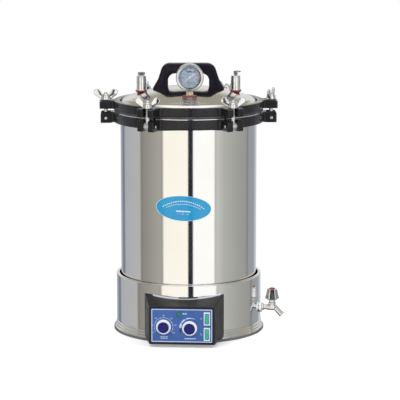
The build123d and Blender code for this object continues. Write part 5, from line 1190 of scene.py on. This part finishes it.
def wedge_strip(thick_start, thick_end, start, end, x, y):
    """Print strip along a circle about (x, y) whose width changes evenly from one angle to the other."""
    inner = arc(WEDGE_R - np.linspace(thick_start, thick_end, 16), start, end, x, y, 16)
    loop = np.concatenate((arc(WEDGE_R, start, end, x, y, 16), inner[::-1]))
    return plate([loop if start < end else loop[::-1]], PRINT_LOW, PRINT_HIGH)


def dashes(x, y, widths, height):
    """Row of plain print bars centred on (x, y), where the object carries words."""
    left = x - (sum(widths) + DASH_GAP * (len(widths) - 1)) / 2
    shells = []
    for width in widths:
        bar = rectangle(width, height, 0.2, left + width / 2, y, steps=2)
        shells.append(plate([bar], PRINT_LOW, PRINT_HIGH))
        left += width + DASH_GAP
    return shells


def panel_print_shells():
    """Border, the timer's scale with its ticks and numbers, the temperature wedge and the labels."""
    low, high = PRINT_LOW, PRINT_HIGH
    width, height = PANEL_SIZE
    shells = [plate([rectangle(width - 0.8, height - 0.8, 1.8),
                     rectangle(width - 4.2, height - 4.2, 0.8, hole=True)], low, high)]
    x, y = TIMER_AT
    start, sweep = TIMER_SCALE_START, TIMER_SCALE_SWEEP
    shells.append(sector(18.6, 19.3, start + sweep, start, low, high, x, y))
    shells += radial_ticks(13, start, sweep, 17.2, 20.6, 0.5, low, high, x, y)
    for minutes in range(0, 70, 10):
        turn = math.radians(round(start + sweep * minutes / 60))
        shells += lettering(str(minutes), x + 24.0 * math.cos(turn), y + 23.0 * math.sin(turn), 2.6, low,
                            high)
    shells += dashes(x + 1, y - 20.4, (3.2, 3.2, 3.2, 3.2), 1.4) + dashes(x + 1, y - 23.6, (4, 5, 4), 1.6)
    x, y = TEMPERATURE_AT
    shells += [wedge_strip(5.0, 4.2, 178, 150, x, y), wedge_strip(3.9, 3.0, 145, 118, x, y),
               wedge_strip(2.6, 0.5, 112, 58, x, y)]
    shells += dashes(x + 1, y - 21.8, (4, 4, 4, 4, 4), 2.2)
    shells += dashes(LAMP_AT[0] + 11.5, LAMP_AT[1] + 1.8, (4, 4), 2.4)
    for (switch_x, switch_y), word in zip(SWITCHES_AT, ("ON", "OFF")):
        shells += lettering(word, switch_x - 11.6, switch_y, 2.2, low, high, 90)
    return shells


def knob_pieces(name, place):
    """Pale knob with a turned skirt and a finely ribbed waist, its mark and its dark cap."""
    skirt = lathed([
        (0, 1.9), (KNOB_R, 1.9, 0.5), (KNOB_R, 5.2, 1.6), (13.4, 6.6, 1.5), (12.9, KNOB_RISE - 1, 0.9),
        (KNOB_CAP_R + 0.2, KNOB_RISE - 0.4, 0.3), (KNOB_CAP_R + 0.1, KNOB_RISE - 2), (0, KNOB_RISE - 2)], 96)
    shaft = turned([(0, -8.0), (3.0, -8.0), (3.0, 2.0), (0, 2.0)], 24)
    ribs = knurled(13.3, 6.4, KNOB_RISE - 1.6, edge=0.3, teeth=36, depth=0.5)
    mark = stroke(12.4, 0, 14.6, 0, 0.9, 5.6, 6.9)
    cap = lathed([
        (0, KNOB_RISE - 1.5), (KNOB_CAP_R, KNOB_RISE - 1.5), (KNOB_CAP_R, KNOB_RISE, 0.6),
        (KNOB_CAP_R - 1.8, KNOB_RISE - 0.1, 0.3), (KNOB_CAP_R - 2.4, KNOB_RISE - 0.5, 0.3),
        (0, KNOB_RISE - 0.7)], 96)

    def on_knob(shell):
        """A shell drawn about the knob's own axis, turned and set on the panel."""
        return on_panel(moved(spun(shell, KNOB_TURN), *place))

    body = name + "_dial"
    piece(name + "_grip", [skirt, shaft, ribs], pale_knob, name + "_knob", body, on_knob)
    piece(name + "_mark", [mark], dial_ink, body=body, at=on_knob)
    piece(name + "_cap", [cap], knob_grip, body=body, at=on_knob)


def box_pieces():
    """Control box with its plate, print, lamp, switch frames and knobs."""
    rows = box_rows()
    catch = [(-0.2, 2.2), (1.5, 2.2), (1.8, 2.6), (1.8, 4.0), (1.4, 4.5), (-0.2, 4.5)]
    piece("moulded_box", [spun(lofted(rows), BOX_AZIMUTH), box_edging(rows, -4.0, 11.0, catch)],
          black_plastic, "control_box")
    # White bead on the skirt along the cover's top edge, a painted highlight of that edge
    bead = [(-0.2, -1.0), (0.9, -1.0), (1.4, 0.8), (1.1, 2.3), (0.4, 2.9), (-0.2, 2.9)]
    piece("box_edge_highlight_bead", [box_edging(rows, -25.0, 30.0, bead)], white_plastic)
    openings = [circle(4.0, *LAMP_AT, hole=True)]
    openings += [rectangle(9.4, 22.0, 0.6, *at, hole=True) for at in SWITCHES_AT]
    sheet = plate([rectangle(*PANEL_SIZE, 2.0)] + openings, 0, PANEL_THICK, edge=0.0, top_edge=0.3)
    piece("panel_sheet", [sheet], blue_panel, "panel_plate", at=on_panel)
    piece("panel_lettering", panel_print_shells(), panel_print, at=on_panel)
    piece("panel_wedge", [wedge_strip(5.2, 1.6, 186, 212, *TEMPERATURE_AT)], dial_ink, at=on_panel)
    lens = lathed([
        (0, -4), (4.0, -4), (4.0, PANEL_THICK - 0.1), (4.6, PANEL_THICK - 0.1, 0.1),
        (4.6, PANEL_THICK + 1.0, 0.5), (3.2, PANEL_THICK + 2.3, 1.6), (0, PANEL_THICK + 2.6)], 48)
    piece("lamp_dome", [moved(lens, *LAMP_AT)], lamp_lens, "indicator_lamp", at=on_panel)
    frames, low = [], PANEL_THICK - 0.05
    for at in SWITCHES_AT:
        frames.append(plate([rectangle(*SWITCH_SIZE, 1.2, *at), rectangle(9.2, 21.8, 0.5, *at, hole=True)],
                            low, PANEL_THICK + 1.8, edge=0.0, top_edge=0.6))
        frames.append(plate([rectangle(9.6, 22.2, 0.6, *at), rectangle(9.2, 21.8, 0.5, *at, hole=True)],
                            -14, low + 0.1))
    piece("switch_bezels", frames, white_plastic, "switch_frames", at=on_panel)
    knob_pieces("timer", TIMER_AT)
    knob_pieces("temperature", TEMPERATURE_AT)


box_pieces()


# Drain tap, drawn about the tap's own direction: X outwards, Z up

TAP_AZIMUTH, TAP_Z, TAP_AXIS, SPOUT_R, SPOUT_RISE = -12.0, 49.5, 179.0, 5.6, 6.0
SPOUT_LENGTH, SPOUT_SLOPE, TAP_CAP_R, TAP_CAP_TOP = 30.0, 45.0, 6.0, 91.7
TAP_KNOB_FOOT, TAP_KNOB_TURN = 65.5, -59.2
TAP_KNOB_PROFILE = ((9.0, 0.2), (10.4, 0.0), (14.3, 2.6), (15.0, 3.8), (14.9, 5.0), (14.4, 6.6),
                    (12.4, 14.6), (10.8, 21.6), (10.4, 22.8), (9.6, 23.7), (6.4, 24.0), (6.2, 23.4))


def tap_body_shells():
    """Turned barrel with a bead and a collar, a tail with a shoulder at the skirt, and an open spout."""
    barrel = lathed([
        (0, 44.2), (6.4, 44.2, 1.6), (9.0, 47.2, 2.0), (9.0, 53.8, 2.4), (7.4, 57.0, 1.2), (7.9, 58.2, 0.5),
        (7.9, 60.0, 0.5), (6.3, 60.8, 0.6), (6.3, 64.9, 0.4), (0, 64.9)], 64)
    tail = lathed([
        (0, 139), (6, 139), (6, 158.2, 0.3), (7.6, 158.4, 0.5), (7.6, 160.8, 0.6), (5.2, 162.4, 1.5),
        (5.2, 168, 2.0), (6.6, 171.5, 1.5), (6.6, TAP_AXIS), (0, TAP_AXIS)], 56)
    spout = lathed([
        (3.9, 2), (SPOUT_R, 2), (SPOUT_R, SPOUT_LENGTH - 4.4, 0.3), (SPOUT_R + 0.3, SPOUT_LENGTH - 3.8, 0.3),
        (SPOUT_R + 0.3, SPOUT_LENGTH, 0.6), (3.9, SPOUT_LENGTH, 0.5)], 48, closed=True)
    spout = moved(spun(spout, 90 + SPOUT_SLOPE, "Y"), TAP_AXIS, 0, TAP_Z + SPOUT_RISE)
    parts = [moved(barrel, TAP_AXIS), moved(spun(tail, 90, "Y"), 0, 0, TAP_Z), spout]
    return [spun(shell, TAP_AZIMUTH) for shell in parts]


def tap_knob_shell():
    """Six-sided handle: rings of a round-cornered hexagon whose size follows the side profile, hollowed
    a little at the top for the button."""
    loop = rounded([(*corner, 0.16) for corner in circle(1.0, count=6)], closed=True, steps=5, guard=0.02)
    rows = [np.concatenate((loop * radius, np.full((len(loop), 1), height)), -1)
            for radius, height in TAP_KNOB_PROFILE]
    return lofted(rows)


def tap_pieces():
    """Tap body on the skirt, and its handle with the red button."""
    piece("tap_casting", tap_body_shells(), chrome, "tap_body")
    handle = placed(
        spun(tap_knob_shell(), TAP_KNOB_TURN - TAP_AZIMUTH), TAP_AXIS, TAP_AZIMUTH, TAP_KNOB_FOOT)
    piece("tap_handle_grip", [handle], chrome, "tap_knob", "tap_handle")
    button = lathed([
        (0, 88.6), (TAP_CAP_R, 88.6), (TAP_CAP_R, TAP_CAP_TOP - 0.6, 1.2), (0, TAP_CAP_TOP)], 48)
    piece("tap_button", [placed(button, TAP_AXIS, TAP_AZIMUTH)], red_plastic, "tap_cap", "tap_handle")


tap_pieces()


# Oval sticker on the pot, plain but for two thin arcs and short bars in place of its words

STICKER_AZIMUTH, STICKER_Z, STICKER_HALF, STICKER_TILT = -94.1, 278.0, (58.5, 26.0), -2.5
STICKER_R, STICKER_RIM_DROP, LETTER_GAP = VESSEL_R + 0.14, -0.12, 0.02


def on_pot(shell):
    """A shell drawn flat, tilted and wrapped round the pot: across becomes the arc length, up the height,
    and its own height the distance outwards."""
    x, y, z = spun(shell, STICKER_TILT)[0].T
    angle = x / STICKER_R + math.radians(STICKER_AZIMUTH)
    radius = STICKER_R + z
    return np.stack((radius * np.cos(angle), radius * np.sin(angle), y + STICKER_Z), -1), shell[1]


def oval_shell(scale, height):
    """Oval patch as rings from its rim, which turns down to the pot, to its middle."""
    rim = circle(scale, count=128) * STICKER_HALF
    shares = np.concatenate(([1.0], np.linspace(1.0, 0.0, 16)))
    points = shares[:, None, None] * rim
    level = np.full(points.shape[:2] + (1,), height)
    level[0] = STICKER_RIM_DROP
    return np.concatenate((points, level), -1).reshape(-1, 3), ring_faces(len(shares), len(rim))


def sticker_arc(rise, half_width, sag, width, gaps=()):
    """Thin line bowed upwards across the sticker, broken at the given shares of its length."""
    shells = []
    cuts = (-1.0, *gaps, 1.0)
    for start, end in zip(cuts, cuts[1:]):
        x = np.linspace(start + LETTER_GAP, end - LETTER_GAP, 14) * half_width
        y = rise - sag * (x / half_width) ** 2
        loop = np.concatenate((np.stack((x, y - width / 2), -1), np.stack((x, y + width / 2), -1)[::-1]))
        shells.append(plate([loop], 0.0, 0.06))
    return shells


def sticker_pieces():
    """Pale-edged oval film and its plain lines."""
    piece("sticker_edge", [oval_shell(1.0, 0.0)], white_print, at=on_pot)
    piece("sticker_face", [oval_shell(0.98, 0.03)], sticker_film, at=on_pot)
    letters = tuple(np.linspace(-0.9, 0.9, 19))
    lines = sticker_arc(15.0, 44.0, 15.0, 2.2, letters) + sticker_arc(9.0, 36.0, 9.5, 1.3, letters)
    lines += sticker_arc(-6.0, 15.0, 0.0, 2.6, (-0.6, -0.2, 0.2, 0.6))
    lines += sticker_arc(-11.5, 12.0, 0.0, 0.9, (0.0,))
    piece("sticker_lines", [moved(line, z=0.02) for line in lines], white_print, at=on_pot)


sticker_pieces()
